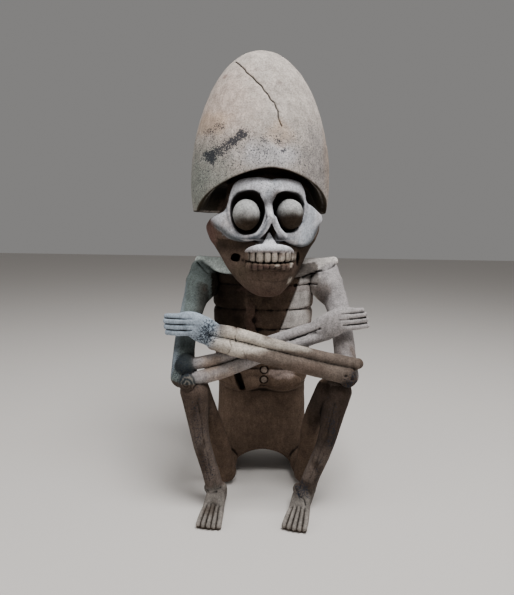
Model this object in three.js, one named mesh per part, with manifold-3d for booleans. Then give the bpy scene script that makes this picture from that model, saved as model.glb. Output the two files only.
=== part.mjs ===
// Seated skeletal deity of fired clay, squatting with its arms crossed over its knees
// under a tall domed cap. The figure was built and fired as one piece, so it is one solid:
// limbs, bones, teeth and beads are lofted skins that are joined, and the eye sockets, nose,
// jaw holes and the arch under the body are cut from them.
// Millimetres, +Z up. The figure faces -Y and its right-hand side is at -X.
// The origin is on the ground under the middle of the figure's box.

import * as THREE from 'three';
import { mergeVertices } from 'three/addons/utils/BufferGeometryUtils.js';
import Module from 'manifold-3d';

const wasm = await Module();
wasm.setup();

const DEGREE = Math.PI / 180;

// Cap: a half egg over a short wall, with a rim that arches up over the face.
const CAP = {
  apexZ: 683,
  widestZ: 474,
  halfWidth: 108,
  halfDepth: 101,
  domePower: 2,
  rimFrontZ: 500,
  rimSideZ: 441,
  archHalfAngle: 74 * DEGREE,
  archPower: 1.6,
  archTurn: 1.5 * DEGREE,
  wallTaper: 0.97,
  brimThickness: 17,
  brimRise: 13,
};

// Head: its turning axis, how far it looks to the figure's left, and how far the face
// sits off the axis.
const HEAD = { axisX: -12.5, axisY: 40, turn: 8.5 * DEGREE, faceX: 2.5 };

// Face plate and jaw as plan sections: half width, forward reach, middle, and how square
// the section is.
const FACE_SECTIONS = [
  { z: 321, halfWidth: 17, front: -80, middle: -48, power: 2.2 },
  { z: 329, halfWidth: 32, front: -88, middle: -44, power: 2.1 },
  { z: 341, halfWidth: 45, front: -93, middle: -38, power: 2 },
  { z: 355, halfWidth: 55, front: -96, middle: -34, power: 1.9 },
  { z: 374, halfWidth: 66, front: -94, middle: -30, power: 1.7 },
  { z: 390, halfWidth: 76, front: -92, middle: -26, power: 1.7 },
  { z: 401, halfWidth: 83, front: -92, middle: -24, power: 2 },
  { z: 419, halfWidth: 89, front: -91, middle: -22, power: 2.2 },
  { z: 430, halfWidth: 86, front: -91, middle: -22, power: 2.2 },
  { z: 439, halfWidth: 76, front: -92, middle: -22, power: 2.2 },
  { z: 449, halfWidth: 66, front: -93, middle: -22, power: 2.2 },
  { z: 466, halfWidth: 62, front: -94, middle: -22, power: 2.3 },
  { z: 482, halfWidth: 60, front: -91, middle: -22, power: 2.3 },
  { z: 491, halfWidth: 55, front: -83, middle: -22, power: 2.3 },
  { z: 494, halfWidth: 46, front: -62, middle: -18, power: 2.2 },
  { z: 522, halfWidth: 42, front: -56, middle: -12, power: 2 },
];
const FACE_BACK = 14;

const EYE = {
  x: 32,
  y: -81,
  z: 437.5,
  ball: [19, 19.5, 22],
  socket: [28.5, 31, 31.5],
  socketForward: 16,
  socketShift: -3,
};
const NOSE = {
  bridgeZ: 458,
  middleZ: 443,
  tipZ: 424,
  baseZ: 401,
  baseHalf: 17,
  ridgeY: -95,
  ridgeRadius: 4.2,
  cutDepth: 15,
};
const JAW = {
  archHalf: 37,
  archFront: -103,
  archBack: -76,
  smile: 2,
  lip: { z: 391.5, droop: 7, middle: [6, 8.2], end: [5, 3.5] },
  upperTeeth: { count: 8, top: 385, bottom: 369.5, gap: 2.6 },
  lowerTeeth: { count: 8, top: 368, bottom: 358, gap: 2.6 },
  toothDepth: 13,
  hole: { x: 44, y: -60, z: 375, radius: 6.8, depth: 16 },
};

// Torso: plan sections from the seat up to the shoulders, and the rib bands that swell
// between grooves.
const TORSO_SECTIONS = [
  { z: 0, halfWidth: 66, front: 44, back: 112 },
  { z: 20, halfWidth: 74, front: 38, back: 122 },
  { z: 60, halfWidth: 77, front: 38, back: 126 },
  { z: 150, halfWidth: 75, front: 40, back: 128 },
  { z: 160, halfWidth: 76, front: 26, back: 130 },
  { z: 215, halfWidth: 79, front: 20, back: 132 },
  { z: 310, halfWidth: 83, front: 24, back: 131 },
  { z: 348, halfWidth: 84, front: 32, back: 124 },
  { z: 366, halfWidth: 66, front: 44, back: 108 },
];
const TORSO_X = -4;
const TORSO_POWER = 2.6;
const RIBS = {
  grooves: [160, 191, 223, 256, 287, 327],
  groove: 3.5,
  grooveHalf: 2.6,
  swell: 1.2,
  sag: 8,
};
const ARCH = { x: -1, halfWidth: 52, height: 44, length: 320 };
const SPINE = { halfWidth: 11, halfHeight: 12, proud: 8 };
const BEADS = { x: -1, heights: [189, 172], ringRadius: 4.8, wire: 2 };
const BELLY_SLOT = { x: -39, z: 163, halfWidth: 5.5, halfHeight: 15, front: 6, back: 48 };
const NECK = { foot: [-4, 62, 350], head: [-13, 28, 405], radius: 40 };

// Limb joints of the figure's right side and left side.
const RIGHT = {
  side: -1,
  arm: [[-106, 64, 348], [-105, 47, 327], [-114, 26, 302], [-122, -28, 247], [-123, -52, 198]],
  shin: [[-104, -58, 180], [-94, -62, 105], [-78, -60, 45], [-72, -58, 14]],
  thigh: [[-102, -54, 178], [-83, -26, 122], [-68, 0, 60], [-62, 10, 18]],
  seat: [-61, 84, 26],
  heel: [-68, -36, 0],
  toes: [-78, -126, 0],
  clavicleTip: [-112, 62, 365],
};
const LEFT = {
  side: 1,
  arm: [[101, 64, 348], [100, 47, 327], [112, 26, 303], [117, -28, 252], [120, -54, 204]],
  shin: [[106, -58, 184], [91, -62, 104], [71, -60, 48], [61, -58, 14]],
  thigh: [[94, -54, 182], [77, -26, 130], [72, 0, 70], [69, 10, 18]],
  seat: [61, 84, 26],
  heel: [66, -38, 0],
  toes: [41, -128, 0],
  clavicleTip: [113, 62, 366],
};
const ARM_RADII = [20, 27, 19, 15.5, 17];
const SHIN_RADII = [21, 12.5, 12.5, 14];
const THIGH_RADII = [20, 15, 15.5, 18];
const SEAT_HALF = [19, 38, 27];
const HIP_RADII = [17, 22];
const CLAVICLE = {
  inner: [22, 36, 346],
  middle: [68, 48, 356],
  wide: [17, 17, 9],
  thick: [8, 8, 6],
  facing: [0, -0.6, 0.8],
};

// Forearm bones, each from the elbow across to the opposite upper arm. The figure's left
// arm lies in front.
const FOREARM_BONES = [
  {
    radius: 8.8,
    path: [[128, -66, 226], [84, -74, 237], [27, -77, 251], [-45, -68, 269], [-82, -60, 272]],
  },
  {
    radius: 12.5,
    path: [[118, -74, 210], [84, -78, 219], [27, -81, 233], [-45, -69, 248], [-84, -58, 254]],
  },
  {
    radius: 8.6,
    path: [[-110, -56, 219], [-66, -54, 229], [0, -50, 252], [58, -46, 271], [84, -44, 279]],
  },
  {
    radius: 10,
    path: [[-110, -64, 197], [-61, -60, 211], [5, -54, 237], [71, -46, 260], [90, -44, 266]],
  },
];
const ELBOW_KNOBS = [
  { at: [-112, -68, 195], radius: 13 },
  { at: [-117, -53, 217], radius: 17 },
  { at: [118, -74, 207], radius: 13 },
  { at: [133, -63, 226], radius: 8 },
];

// Hands: wrist, knuckles and the middle of the finger tips. The skew makes the lower
// fingers the longer ones.
const HANDS = [
  { path: [[-74, -57, 262], [-108, -62, 282], [-151, -49, 279]], skew: 0 },
  { path: [[78, -46, 271], [110, -52, 292], [150, -40, 294]], skew: -5 },
];
const BEND_AT = 0.45;
const FINGERS = { count: 4, tipRound: 4 };
const HAND_STATIONS = [
  { at: 0, half: 17, thick: 9, groove: 0 },
  { at: 0.24, half: 20, thick: 10, groove: 0 },
  { at: 0.48, half: 18.5, thick: 9, groove: 2 },
  { at: 0.75, half: 17.5, thick: 7.5, groove: 3.5 },
  { at: 1, half: 16.5, thick: 5, groove: 3 },
];

const TOES = { count: 5, tipRound: 4 };
const FOOT_STATIONS = [
  { at: 0, half: 8, thick: 8, groove: 0 },
  { at: 0.1, half: 13, thick: 15, groove: 0 },
  { at: 0.36, half: 14, thick: 16.5, groove: 0 },
  { at: 0.54, half: 15.5, thick: 11.5, groove: 1 },
  { at: 0.74, half: 17.5, thick: 8.5, groove: 3 },
  { at: 0.94, half: 19, thick: 6, groove: 3.5 },
  { at: 1, half: 18.5, thick: 4.2, groove: 2.5 },
];

const CLAY = { colour: 0x8f877c, roughness: 0.92 };

// Turns a closed three.js geometry into a solid that can be joined and cut.
function solid(geometry) {
  const bare = geometry.clone();
  bare.deleteAttribute('normal');
  bare.deleteAttribute('uv');
  const merged = mergeVertices(bare, 1e-4);
  return new wasm.Manifold(new wasm.Mesh({
    numProp: 3,
    vertProperties: new Float32Array(merged.attributes.position.array),
    triVerts: new Uint32Array(merged.index.array),
  }));
}

function toGeometry(manifold) {
  const mesh = manifold.getMesh();
  const geometry = new THREE.BufferGeometry();
  const points = new Float32Array(mesh.vertProperties);
  geometry.setAttribute('position', new THREE.BufferAttribute(points, 3));
  geometry.setIndex(new THREE.BufferAttribute(new Uint32Array(mesh.triVerts), 1));
  return geometry;
}

function join(solids) {
  return solids.reduce((whole, piece) => whole.add(piece));
}

// Skins a stack of rings, each anticlockwise about the way the stack goes. A ring of one
// point is a pole.
function skin(rings) {
  const starts = [];
  let start = 0;
  for (const ring of rings) {
    starts.push(start);
    start += ring.length;
  }
  const triangles = [];
  for (let r = 0; r + 1 < rings.length; r++) {
    const low = rings[r].length;
    const high = rings[r + 1].length;
    const count = Math.max(low, high);
    for (let i = 0; i < count; i++) {
      const next = (i + 1) % count;
      const a = starts[r] + (i % low);
      const b = starts[r] + (next % low);
      const c = starts[r + 1] + (next % high);
      const d = starts[r + 1] + (i % high);
      if (low > 1) triangles.push(a, b, c);
      if (high > 1) triangles.push(a, c, d);
    }
  }
  const geometry = new THREE.BufferGeometry().setFromPoints(rings.flat());
  geometry.setIndex(triangles);
  return geometry;
}

// Value of a named field at a height between hand-set sections.
function between(sections, z, field) {
  const above = sections.findIndex((section) => section.z >= z);
  if (above === 0) return sections[0][field];
  if (above < 0) return sections[sections.length - 1][field];
  const low = sections[above - 1];
  const high = sections[above];
  return THREE.MathUtils.lerp(low[field], high[field], (z - low.z) / (high.z - low.z));
}

// A point of a rounded oval at an angle measured from the front (-Y) towards +X. A higher
// power is squarer.
function oval(angle, halfWidth, halfDepth, power) {
  const s = Math.sin(angle);
  const c = -Math.cos(angle);
  return [
    halfWidth * Math.sign(s) * Math.abs(s) ** (2 / power),
    halfDepth * Math.sign(c) * Math.abs(c) ** (2 / power),
  ];
}

// Angles once round a section, anticlockwise seen from above, starting at the front.
function turns(sides) {
  return Array.from({ length: sides }, (_, i) => (i / sides) * 2 * Math.PI);
}

// A limb: an oval section carried along a smooth path through the points, with round ends.
// Each radius is a number, or a pair: across the path, and towards the facing direction.
function limb(path, radii, { sides = 9, steps = 6, facing = [0, 0, 1], power = 2 } = {}) {
  const points = path.map((p) => new THREE.Vector3(...p));
  const curve = new THREE.CatmullRomCurve3(points, false, 'centripetal');
  const outward = new THREE.Vector3(...facing);
  const pairs = radii.map((r) => (Array.isArray(r) ? r : [r, r]));
  const ring = (t, shift, scale) => {
    const along = curve.getTangent(t);
    const across = new THREE.Vector3().crossVectors(along, outward).normalize();
    const over = new THREE.Vector3().crossVectors(along, across);
    const place = Math.min(t * (pairs.length - 1), pairs.length - 1.000001);
    const i = Math.floor(place);
    const wide = THREE.MathUtils.lerp(pairs[i][0], pairs[i + 1][0], place - i);
    const tall = THREE.MathUtils.lerp(pairs[i][1], pairs[i + 1][1], place - i);
    const middle = curve.getPoint(t).addScaledVector(along, shift * Math.min(wide, tall));
    if (scale === 0) return [middle];
    return turns(sides).map((angle) => {
      const [a, b] = oval(angle + Math.PI / sides, wide * scale, tall * scale, power);
      return middle.clone().addScaledVector(across, a).addScaledVector(over, b);
    });
  };
  const rings = [ring(0, -0.9, 0), ring(0, -0.55, 0.8)];
  for (let i = 0; i <= steps; i++) rings.push(ring(i / steps, 0, 1));
  rings.push(ring(1, 0.55, 0.8), ring(1, 0.9, 0));
  return solid(skin(rings));
}

function evenLimb(path, radius, options) {
  return limb(path, path.map(() => radius), options);
}

function ellipsoid(centre, half, around = 12, down = 8) {
  const geometry = new THREE.SphereGeometry(1, around, down);
  geometry.rotateX(Math.PI / 2);
  geometry.scale(...half);
  geometry.translate(...centre);
  return solid(geometry);
}

function block(low, high) {
  const size = high.map((value, i) => value - low[i]);
  const geometry = new THREE.BoxGeometry(...size);
  geometry.translate(...low.map((value, i) => value + size[i] / 2));
  return solid(geometry);
}

// Height of the cap's rim at an angle from the face.
function rimHeight(angle) {
  const fromMiddle = angle - CAP.archTurn;
  const turned = Math.abs(Math.atan2(Math.sin(fromMiddle), Math.cos(fromMiddle)));
  const share = Math.min(1, turned / CAP.archHalfAngle);
  return CAP.rimFrontZ - (CAP.rimFrontZ - CAP.rimSideZ) * share ** CAP.archPower;
}

// Width of the cap at a height, as a share of its widest section.
function capShare(z) {
  if (z < CAP.widestZ) {
    const down = (CAP.widestZ - z) / (CAP.widestZ - CAP.rimSideZ);
    return THREE.MathUtils.lerp(1, CAP.wallTaper, down ** 2);
  }
  const up = Math.min(1, (z - CAP.widestZ) / (CAP.apexZ - CAP.widestZ));
  return Math.max(0, 1 - up ** CAP.domePower) ** (1 / CAP.domePower);
}

// The cap: rings that start on the rim's own curve and level out towards the apex.
function makeCap() {
  const ring = (share, inset, rise) => turns(26).map((angle) => {
    const rim = rimHeight(angle);
    const z = rim + (CAP.apexZ - rim) * share;
    const wide = capShare(z) - inset / CAP.halfWidth;
    const [x, y] = oval(angle, CAP.halfWidth * wide, CAP.halfDepth * wide, 2.1);
    return new THREE.Vector3(x, y, z + rise);
  });
  const rings = [
    [new THREE.Vector3(0, 0, CAP.rimFrontZ + 20)],
    ring(0, 62, CAP.brimRise + 8),
    ring(0, CAP.brimThickness, CAP.brimRise),
    ring(0, 1.5, 0),
    ring(0, 0, 5),
  ];
  for (const share of [0.15, 0.32, 0.49, 0.65, 0.8, 0.91, 0.98]) rings.push(ring(share, 0, 0));
  rings.push([new THREE.Vector3(0, 0, CAP.apexZ)]);
  return solid(skin(rings));
}

// Face plate, cheekbones and jaw: one skin over the plan sections.
function makeFacePlate() {
  const rings = FACE_SECTIONS.map(({ z, halfWidth, front, middle, power }) => turns(20).map((turn) => {
    const angle = turn - 0.45 * Math.sin(turn);
    const [x, y] = oval(angle, halfWidth, 1, power);
    const reach = y < 0 ? middle - front : FACE_BACK - middle;
    return new THREE.Vector3(x, middle + y * reach, z);
  }));
  const first = FACE_SECTIONS[0];
  const last = FACE_SECTIONS[FACE_SECTIONS.length - 1];
  rings.unshift([new THREE.Vector3(0, first.middle, first.z - 2)]);
  rings.push([new THREE.Vector3(0, last.middle, last.z)]);
  return solid(skin(rings));
}

// A point on the dental arch. The share runs from -1 at the figure's right to 1 at its left.
function archPoint(share, z, inset) {
  const angle = share * 80 * DEGREE;
  const half = JAW.archHalf - inset;
  const deep = JAW.archBack - JAW.archFront - inset;
  return [half * Math.sin(angle), JAW.archBack - deep * Math.cos(angle), z + JAW.smile * share ** 2];
}

// A row of teeth: one bar along the dental arch, pinched in at every gap between two teeth.
function makeTeeth({ count, top, bottom, gap }) {
  const rings = [];
  const stations = [0, 0.12, 0.88];
  for (let i = 0; i <= count; i++) {
    for (const station of i < count ? stations : [0]) {
      const share = ((i + station) / count) * 2 - 1;
      const pinch = station === 0 ? gap : 0;
      const outerLow = archPoint(share, bottom + pinch / 2, pinch);
      const outerHigh = archPoint(share, top, pinch);
      const innerHigh = archPoint(share, top, JAW.toothDepth);
      const innerLow = archPoint(share, bottom + pinch / 2, JAW.toothDepth);
      rings.push([innerLow, innerHigh, outerHigh, outerLow].map((p) => new THREE.Vector3(...p)));
    }
  }
  const middle = (ring) => [ring[0].clone().add(ring[2]).multiplyScalar(0.5)];
  return solid(skin([middle(rings[0]), ...rings, middle(rings[rings.length - 1])]));
}

function makeUpperLip() {
  const { z, droop, middle, end } = JAW.lip;
  const path = [-1, -0.5, 0, 0.5, 1].map((share) => archPoint(share, z - droop * share ** 2, 2));
  const radii = [end, middle, middle, middle, end];
  return limb(path, radii, { sides: 6, steps: 6 });
}

// The opening of the nose, a triangle cut back into the face.
function makeNoseCut() {
  const outline = new THREE.Shape();
  outline.moveTo(0, NOSE.tipZ - 3);
  outline.lineTo(-NOSE.baseHalf + 2, NOSE.baseZ - 1);
  outline.lineTo(NOSE.baseHalf - 2, NOSE.baseZ - 1);
  const cut = new THREE.ExtrudeGeometry(outline, { depth: NOSE.cutDepth + 30, bevelEnabled: false });
  cut.rotateX(Math.PI / 2);
  cut.translate(0, NOSE.ridgeY + NOSE.cutDepth, 0);
  return solid(cut);
}

// Bridge, the two wings that frame the opening, and the blunt septum at its foot.
function makeNose() {
  const y = NOSE.ridgeY;
  const slim = NOSE.ridgeRadius;
  const parts = [
    limb(
      [[0, y + 7, NOSE.bridgeZ], [0, y + 1, NOSE.middleZ], [0, y - 4, NOSE.tipZ]],
      [[11, 6], [slim, 6], [slim, 6]],
      { sides: 6, steps: 3, facing: [0, 1, 0] },
    ),
    ellipsoid([0, y + 5, NOSE.baseZ + 3], [8, 8, 10], 7, 5),
  ];
  for (const side of [-1, 1]) {
    const wing = [[0, y - 3, NOSE.tipZ + 2], [side * (NOSE.baseHalf + 2), y + 3, NOSE.baseZ]];
    parts.push(limb(wing, [4, 5], { sides: 6, steps: 1, facing: [0, 1, 0] }));
  }
  return join(parts);
}

function makeHead() {
  let face = join([makeFacePlate(), makeUpperLip()]);
  for (const side of [-1, 1]) {
    const socketX = side * EYE.x + EYE.socketShift;
    const socket = ellipsoid([socketX, EYE.y - EYE.socketForward, EYE.z], EYE.socket, 14, 8);
    const { x, y, z, radius, depth } = JAW.hole;
    const hole = ellipsoid([side * x, y, z], [radius, depth, radius], 7, 5);
    face = face.subtract(socket).subtract(hole);
  }
  face = face.subtract(makeNoseCut());
  const features = [face, makeNose(), makeTeeth(JAW.upperTeeth), makeTeeth(JAW.lowerTeeth)];
  for (const side of [-1, 1]) features.push(ellipsoid([side * EYE.x, EYE.y, EYE.z], EYE.ball, 11, 7));
  const placed = toGeometry(join(features));
  placed.translate(HEAD.faceX, 0, 0);
  const head = toGeometry(makeCap().add(solid(placed)));
  head.rotateZ(HEAD.turn);
  head.translate(HEAD.axisX, HEAD.axisY, 0);
  return solid(head);
}

// The lowest rib edge hangs in a lobe at either side of the middle, on the front only.
function ribSag(x, y, z) {
  const [lowest] = RIBS.grooves;
  if (y > 0 || z < lowest - 12 || z > lowest + RIBS.grooveHalf) return 0;
  return RIBS.sag * Math.sin(Math.PI * Math.min(1, Math.abs(x) / 78)) ** 2;
}

// Torso: the plan sections with rib bands, each swelling between two grooves.
function makeTorso() {
  const top = TORSO_SECTIONS[TORSO_SECTIONS.length - 1].z;
  const { grooves, groove, grooveHalf, swell } = RIBS;
  const levels = TORSO_SECTIONS.filter(({ z }) => z < grooves[0]).map(({ z }) => ({ z, proud: 0 }));
  grooves.forEach((z, i) => {
    levels.push({ z, proud: -groove });
    if (i === grooves.length - 1) return;
    levels.push({ z: z + grooveHalf, proud: swell });
    levels.push({ z: grooves[i + 1] - grooveHalf, proud: swell });
  });
  levels.push({ z: grooves[grooves.length - 1] + grooveHalf, proud: swell });
  levels.push({ z: top, proud: 0 });
  const at = (z, field) => between(TORSO_SECTIONS, z, field);
  const rings = levels.map(({ z, proud }) => {
    const middle = (at(z, 'front') + at(z, 'back')) / 2;
    const halfDepth = (at(z, 'back') - at(z, 'front')) / 2;
    return turns(20).map((angle) => {
      const [x, y] = oval(angle, at(z, 'halfWidth') + proud, halfDepth + proud, TORSO_POWER);
      return new THREE.Vector3(TORSO_X + x, middle + y, z - ribSag(x, y, z));
    });
  });
  rings.unshift([new THREE.Vector3(TORSO_X, 78, 0)]);
  rings.push([new THREE.Vector3(TORSO_X, 76, top + 3)]);
  return solid(skin(rings));
}

// The arched tunnel under the body, from front to back.
function makeArchCut() {
  const outline = new THREE.Shape();
  outline.absellipse(ARCH.x, 0, ARCH.halfWidth, ARCH.height, 0, 2 * Math.PI);
  const depth = ARCH.length;
  const cut = new THREE.ExtrudeGeometry(outline, { depth, bevelEnabled: false, curveSegments: 18 });
  cut.rotateX(Math.PI / 2);
  cut.translate(0, ARCH.length / 2 + 80, 0);
  return solid(cut);
}

function makeSpine() {
  const bumps = [];
  for (let i = 1; i < RIBS.grooves.length; i++) {
    const z = (RIBS.grooves[i - 1] + RIBS.grooves[i]) / 2;
    const y = between(TORSO_SECTIONS, z, 'back') - 3;
    bumps.push(ellipsoid([TORSO_X, y, z], [SPINE.halfWidth, SPINE.proud + 3, SPINE.halfHeight], 6, 4));
  }
  return join(bumps);
}

// The two ring beads at the foot of the breastbone, half sunk in the rib bands.
function makeBeads() {
  return join(BEADS.heights.map((z) => {
    const ring = new THREE.TorusGeometry(BEADS.ringRadius, BEADS.wire, 5, 9);
    ring.rotateX(Math.PI / 2);
    ring.translate(BEADS.x, between(TORSO_SECTIONS, z, 'front') - RIBS.swell, z);
    return solid(ring);
  }));
}

// A flat limb whose free end is divided into lobes side by side, such as fingers or toes.
// The path has a root, a bend and the tips. Each station gives its place on the path, its
// half width, its half thickness and the depth of the grooves between the lobes.
function lobedLimb({ path, facing, stations, lobes, tipRound, rest = 0, skew = 0 }) {
  const [root, bend, tips] = path.map((p) => new THREE.Vector3(...p));
  const along = tips.clone().sub(bend).normalize();
  const across = new THREE.Vector3(...facing).cross(along).normalize();
  const over = new THREE.Vector3().crossVectors(along, across);
  const rings = stations.map(({ at, half, thick, groove }) => {
    const middle = at < BEND_AT
      ? root.clone().lerp(bend, at / BEND_AT)
      : bend.clone().lerp(tips, (at - BEND_AT) / (1 - BEND_AT));
    const point = (share, height, back) => middle.clone()
      .addScaledVector(along, at * skew * share - (at === 1 ? back : 0))
      .addScaledVector(across, share * half)
      .addScaledVector(over, rest * thick + height);
    const ring = [point(1, 0, tipRound)];
    for (let lobe = 0; lobe < lobes; lobe++) {
      const share = (part) => 1 - (2 * (lobe + part)) / lobes;
      ring.push(point(share(0.25), thick, 0), point(share(0.75), thick, 0));
      if (lobe < lobes - 1) ring.push(point(share(1), thick - groove, tipRound));
    }
    ring.push(point(-1, 0, tipRound));
    for (const share of [-0.8, 0, 0.8]) ring.push(point(share, -thick, tipRound));
    return ring;
  });
  const centre = (ring) => {
    const sum = ring.reduce((total, p) => total.add(p), new THREE.Vector3());
    return [sum.divideScalar(ring.length)];
  };
  return solid(skin([centre(rings[0]), ...rings, centre(rings[rings.length - 1])]));
}

function makeHand({ path, skew }) {
  return lobedLimb({
    path,
    facing: [0, -1, 0],
    stations: HAND_STATIONS,
    lobes: FINGERS.count,
    tipRound: FINGERS.tipRound,
    skew,
  });
}

// A foot from its heel to the toe tips, resting on its sole.
function makeFoot({ heel, toes }) {
  const middle = heel.map((value, i) => (value + toes[i]) / 2);
  return lobedLimb({
    path: [heel, middle, toes],
    facing: [0, 0, 1],
    stations: FOOT_STATIONS,
    lobes: TOES.count,
    tipRound: TOES.tipRound,
    rest: 1,
  });
}

function makeClavicle({ side, clavicleTip }) {
  const { inner, middle, wide, thick, facing } = CLAVICLE;
  const onSide = ([x, y, z]) => [side * x, y, z];
  const path = [onSide(inner), onSide(middle), clavicleTip];
  return limb(path, wide.map((w, i) => [w, thick[i]]), { sides: 8, steps: 4, facing });
}

// Torso, seat lobes and the hips that lead forward to the thighs, with the belly slot and
// the arch cut out of them.
function makeBody() {
  const { x, z, halfWidth, halfHeight, front, back } = BELLY_SLOT;
  const slot = block([x - halfWidth, front, z - halfHeight], [x + halfWidth, back, z + halfHeight]);
  const parts = [makeTorso()];
  for (const { seat, thigh } of [RIGHT, LEFT]) {
    const hip = [thigh[thigh.length - 1], seat];
    parts.push(ellipsoid(seat, SEAT_HALF, 10, 6));
    parts.push(limb(hip, HIP_RADII, { sides: 8, steps: 1, facing: [1, 0, 0] }));
  }
  return join(parts).subtract(slot).subtract(makeArchCut());
}

function makeFigure() {
  const neckForm = { sides: 12, steps: 2, facing: [1, 0, 0] };
  const neck = evenLimb([NECK.head, NECK.foot], NECK.radius, neckForm);
  const parts = [makeBody(), neck, makeSpine(), makeBeads(), makeHead()];
  for (const joints of [RIGHT, LEFT]) {
    parts.push(limb(joints.arm, ARM_RADII, { sides: 9, facing: [1, 0, 0] }));
    parts.push(limb(joints.shin, SHIN_RADII, { sides: 10, facing: [0, 1, 0], power: 2.4 }));
    parts.push(limb(joints.thigh, THIGH_RADII, { sides: 9, facing: [1, 0, 0] }));
    parts.push(makeFoot(joints), makeClavicle(joints));
  }
  for (const { path, radius } of FOREARM_BONES) {
    parts.push(evenLimb(path, radius, { sides: 8, steps: 6 }));
  }
  for (const { at, radius } of ELBOW_KNOBS) parts.push(ellipsoid(at, Array(3).fill(radius), 8, 5));
  for (const hand of HANDS) parts.push(makeHand(hand));
  const ground = block([-300, -300, -100], [300, 300, 0]);
  return join(parts).subtract(ground);
}

const shape = toGeometry(makeFigure());
shape.computeBoundingBox();
const boxMiddle = shape.boundingBox.getCenter(new THREE.Vector3());
shape.translate(-boxMiddle.x, -boxMiddle.y, -shape.boundingBox.min.z);

const clay = new THREE.MeshStandardMaterial({
  color: CLAY.colour,
  roughness: CLAY.roughness,
  metalness: 0,
});
const figure = new THREE.Mesh(shape, clay);
figure.name = 'figure';

const model = new THREE.Group();
model.add(figure);

export default model;
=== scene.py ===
"""Seated skeletal deity in fired clay: its hand-worked surface, its stains and painted shade,
and a plain studio.

The figure is one piece of clay. Its parts are worked out as closed skins, run together into
one skin, smoothed as a wet hand would, incised, worn and stained, and given painted light
and shade.
"""

import math

import bpy
import numpy as np
from mathutils import Matrix


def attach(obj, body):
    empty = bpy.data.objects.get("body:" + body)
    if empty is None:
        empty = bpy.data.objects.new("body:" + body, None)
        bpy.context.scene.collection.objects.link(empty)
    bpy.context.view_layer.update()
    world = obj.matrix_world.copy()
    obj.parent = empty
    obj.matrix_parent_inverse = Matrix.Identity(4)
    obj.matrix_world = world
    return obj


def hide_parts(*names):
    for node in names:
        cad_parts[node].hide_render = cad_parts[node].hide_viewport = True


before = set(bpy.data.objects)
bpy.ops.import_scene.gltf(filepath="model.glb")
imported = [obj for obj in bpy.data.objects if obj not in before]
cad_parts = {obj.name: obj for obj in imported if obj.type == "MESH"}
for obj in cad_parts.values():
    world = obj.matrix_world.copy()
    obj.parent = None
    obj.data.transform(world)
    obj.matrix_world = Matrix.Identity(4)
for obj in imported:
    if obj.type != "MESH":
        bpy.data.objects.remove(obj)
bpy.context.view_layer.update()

# Lengths are millimetres in the maker's frame: x to the viewer's right, y to the back, z up.
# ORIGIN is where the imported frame's origin lies in it.
ORIGIN = np.array([1.447, 4.372, 0.0])
MM = 0.001
BACKWARD, UPWARD = (0, 1, 0), (0, 0, 1)
# Grid on which skins are run together, and the triangles left when the mesh is thinned
VOXEL = 1.15
TRIANGLES = 196000

# Cap
CAP_APEX, CAP_WIDEST, CAP_WIDE, CAP_DEEP, CAP_POWER = 683.0, 474.0, 108.0, 101.0, 2.1
RIM_FRONT, RIM_SIDE = 500.0, 441.0
RIM_HALF_ANGLE, RIM_POWER, RIM_TURN = math.radians(74), 1.6, math.radians(1.5)
WALL_TAPER = 0.97
# Underside of the brim, from deep inside to the outer wall: how far in, how far above the rim
BRIM = [
    (60, 44), (44, 43), (34, 40), (27, 33), (22, 24), (18, 15), (15, 10), (11, 6), (7, 3.2),
    (4, 1.4), (2, 0.6), (0.8, 0.8), (0.2, 2.2), (0, 4.5),
]

# Head: turning axis, turn towards its own left, and the face's place off the axis
HEAD_AXIS = np.array([-12.5, 40.0, 0.0])
HEAD_TURN = math.radians(8.5)
FACE_X, FACE_BACK = 2.5, 14.0

# Skull and jaw behind the mask: height, half width, front, middle, squareness
SKULL = np.array([
    (317.5, 15, -78, -50, 2.4), (320.5, 22, -85, -48, 2.3), (327, 30, -89, -45, 2.2),
    (341, 44.5, -93, -38, 2.0), (355, 55, -95, -34, 1.9), (374, 66, -92, -30, 1.7),
    (390, 76, -86, -26, 1.7), (401, 83, -82, -24, 2.0), (419, 88, -80, -22, 2.2),
    (430, 83, -80, -22, 2.2), (439, 70, -82, -22, 2.2), (449, 62, -84, -22, 2.2),
    (466, 58, -84, -22, 2.3), (482, 56, -80, -22, 2.3), (491, 50, -70, -22, 2.3),
    (500, 45, -60, -18, 2.2), (540, 42, -56, -12, 2.0),
])
# Mask outline, clockwise from the middle of the forehead: x, z
MASK = np.array([
    (1.5, 487), (17, 489), (35, 488), (46, 485), (52, 474), (55, 461), (58, 455), (74, 447),
    (88, 438), (90, 431), (82, 422), (76, 410), (72, 401), (63, 393), (50, 391), (38, 394),
    (21, 401), (0, 403), (-22, 401), (-46, 399.5), (-59, 404), (-67, 412), (-77, 419),
    (-84, 426), (-83, 431), (-75, 436), (-65, 441), (-61, 447), (-58, 456), (-56, 467),
    (-50, 481), (-43, 486), (-27, 489), (-11, 489),
])
MASK_CENTRE = np.array([-2.0, 440.0])
MASK_FRONT, MASK_CURVE, MASK_THICK, MASK_EDGE = -94.0, 0.0058, 17.0, 9.0
# Eyeballs and their sockets: middle, half sizes
EYES = [((-34, -81, 436.4), (19.4, 19.5, 22.0)), ((29.4, -81, 438.2), (19.3, 19.5, 21.6))]
SOCKETS = [((-33.8, -93, 439.5), (26.6, 34, 32)), ((27.2, -93, 441.4), (27.4, 34, 30.0))]
SOCKET_POWER, SOCKET_BROW, SOCKET_TAPER = 2.5, 1.05, 0.28
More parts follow.
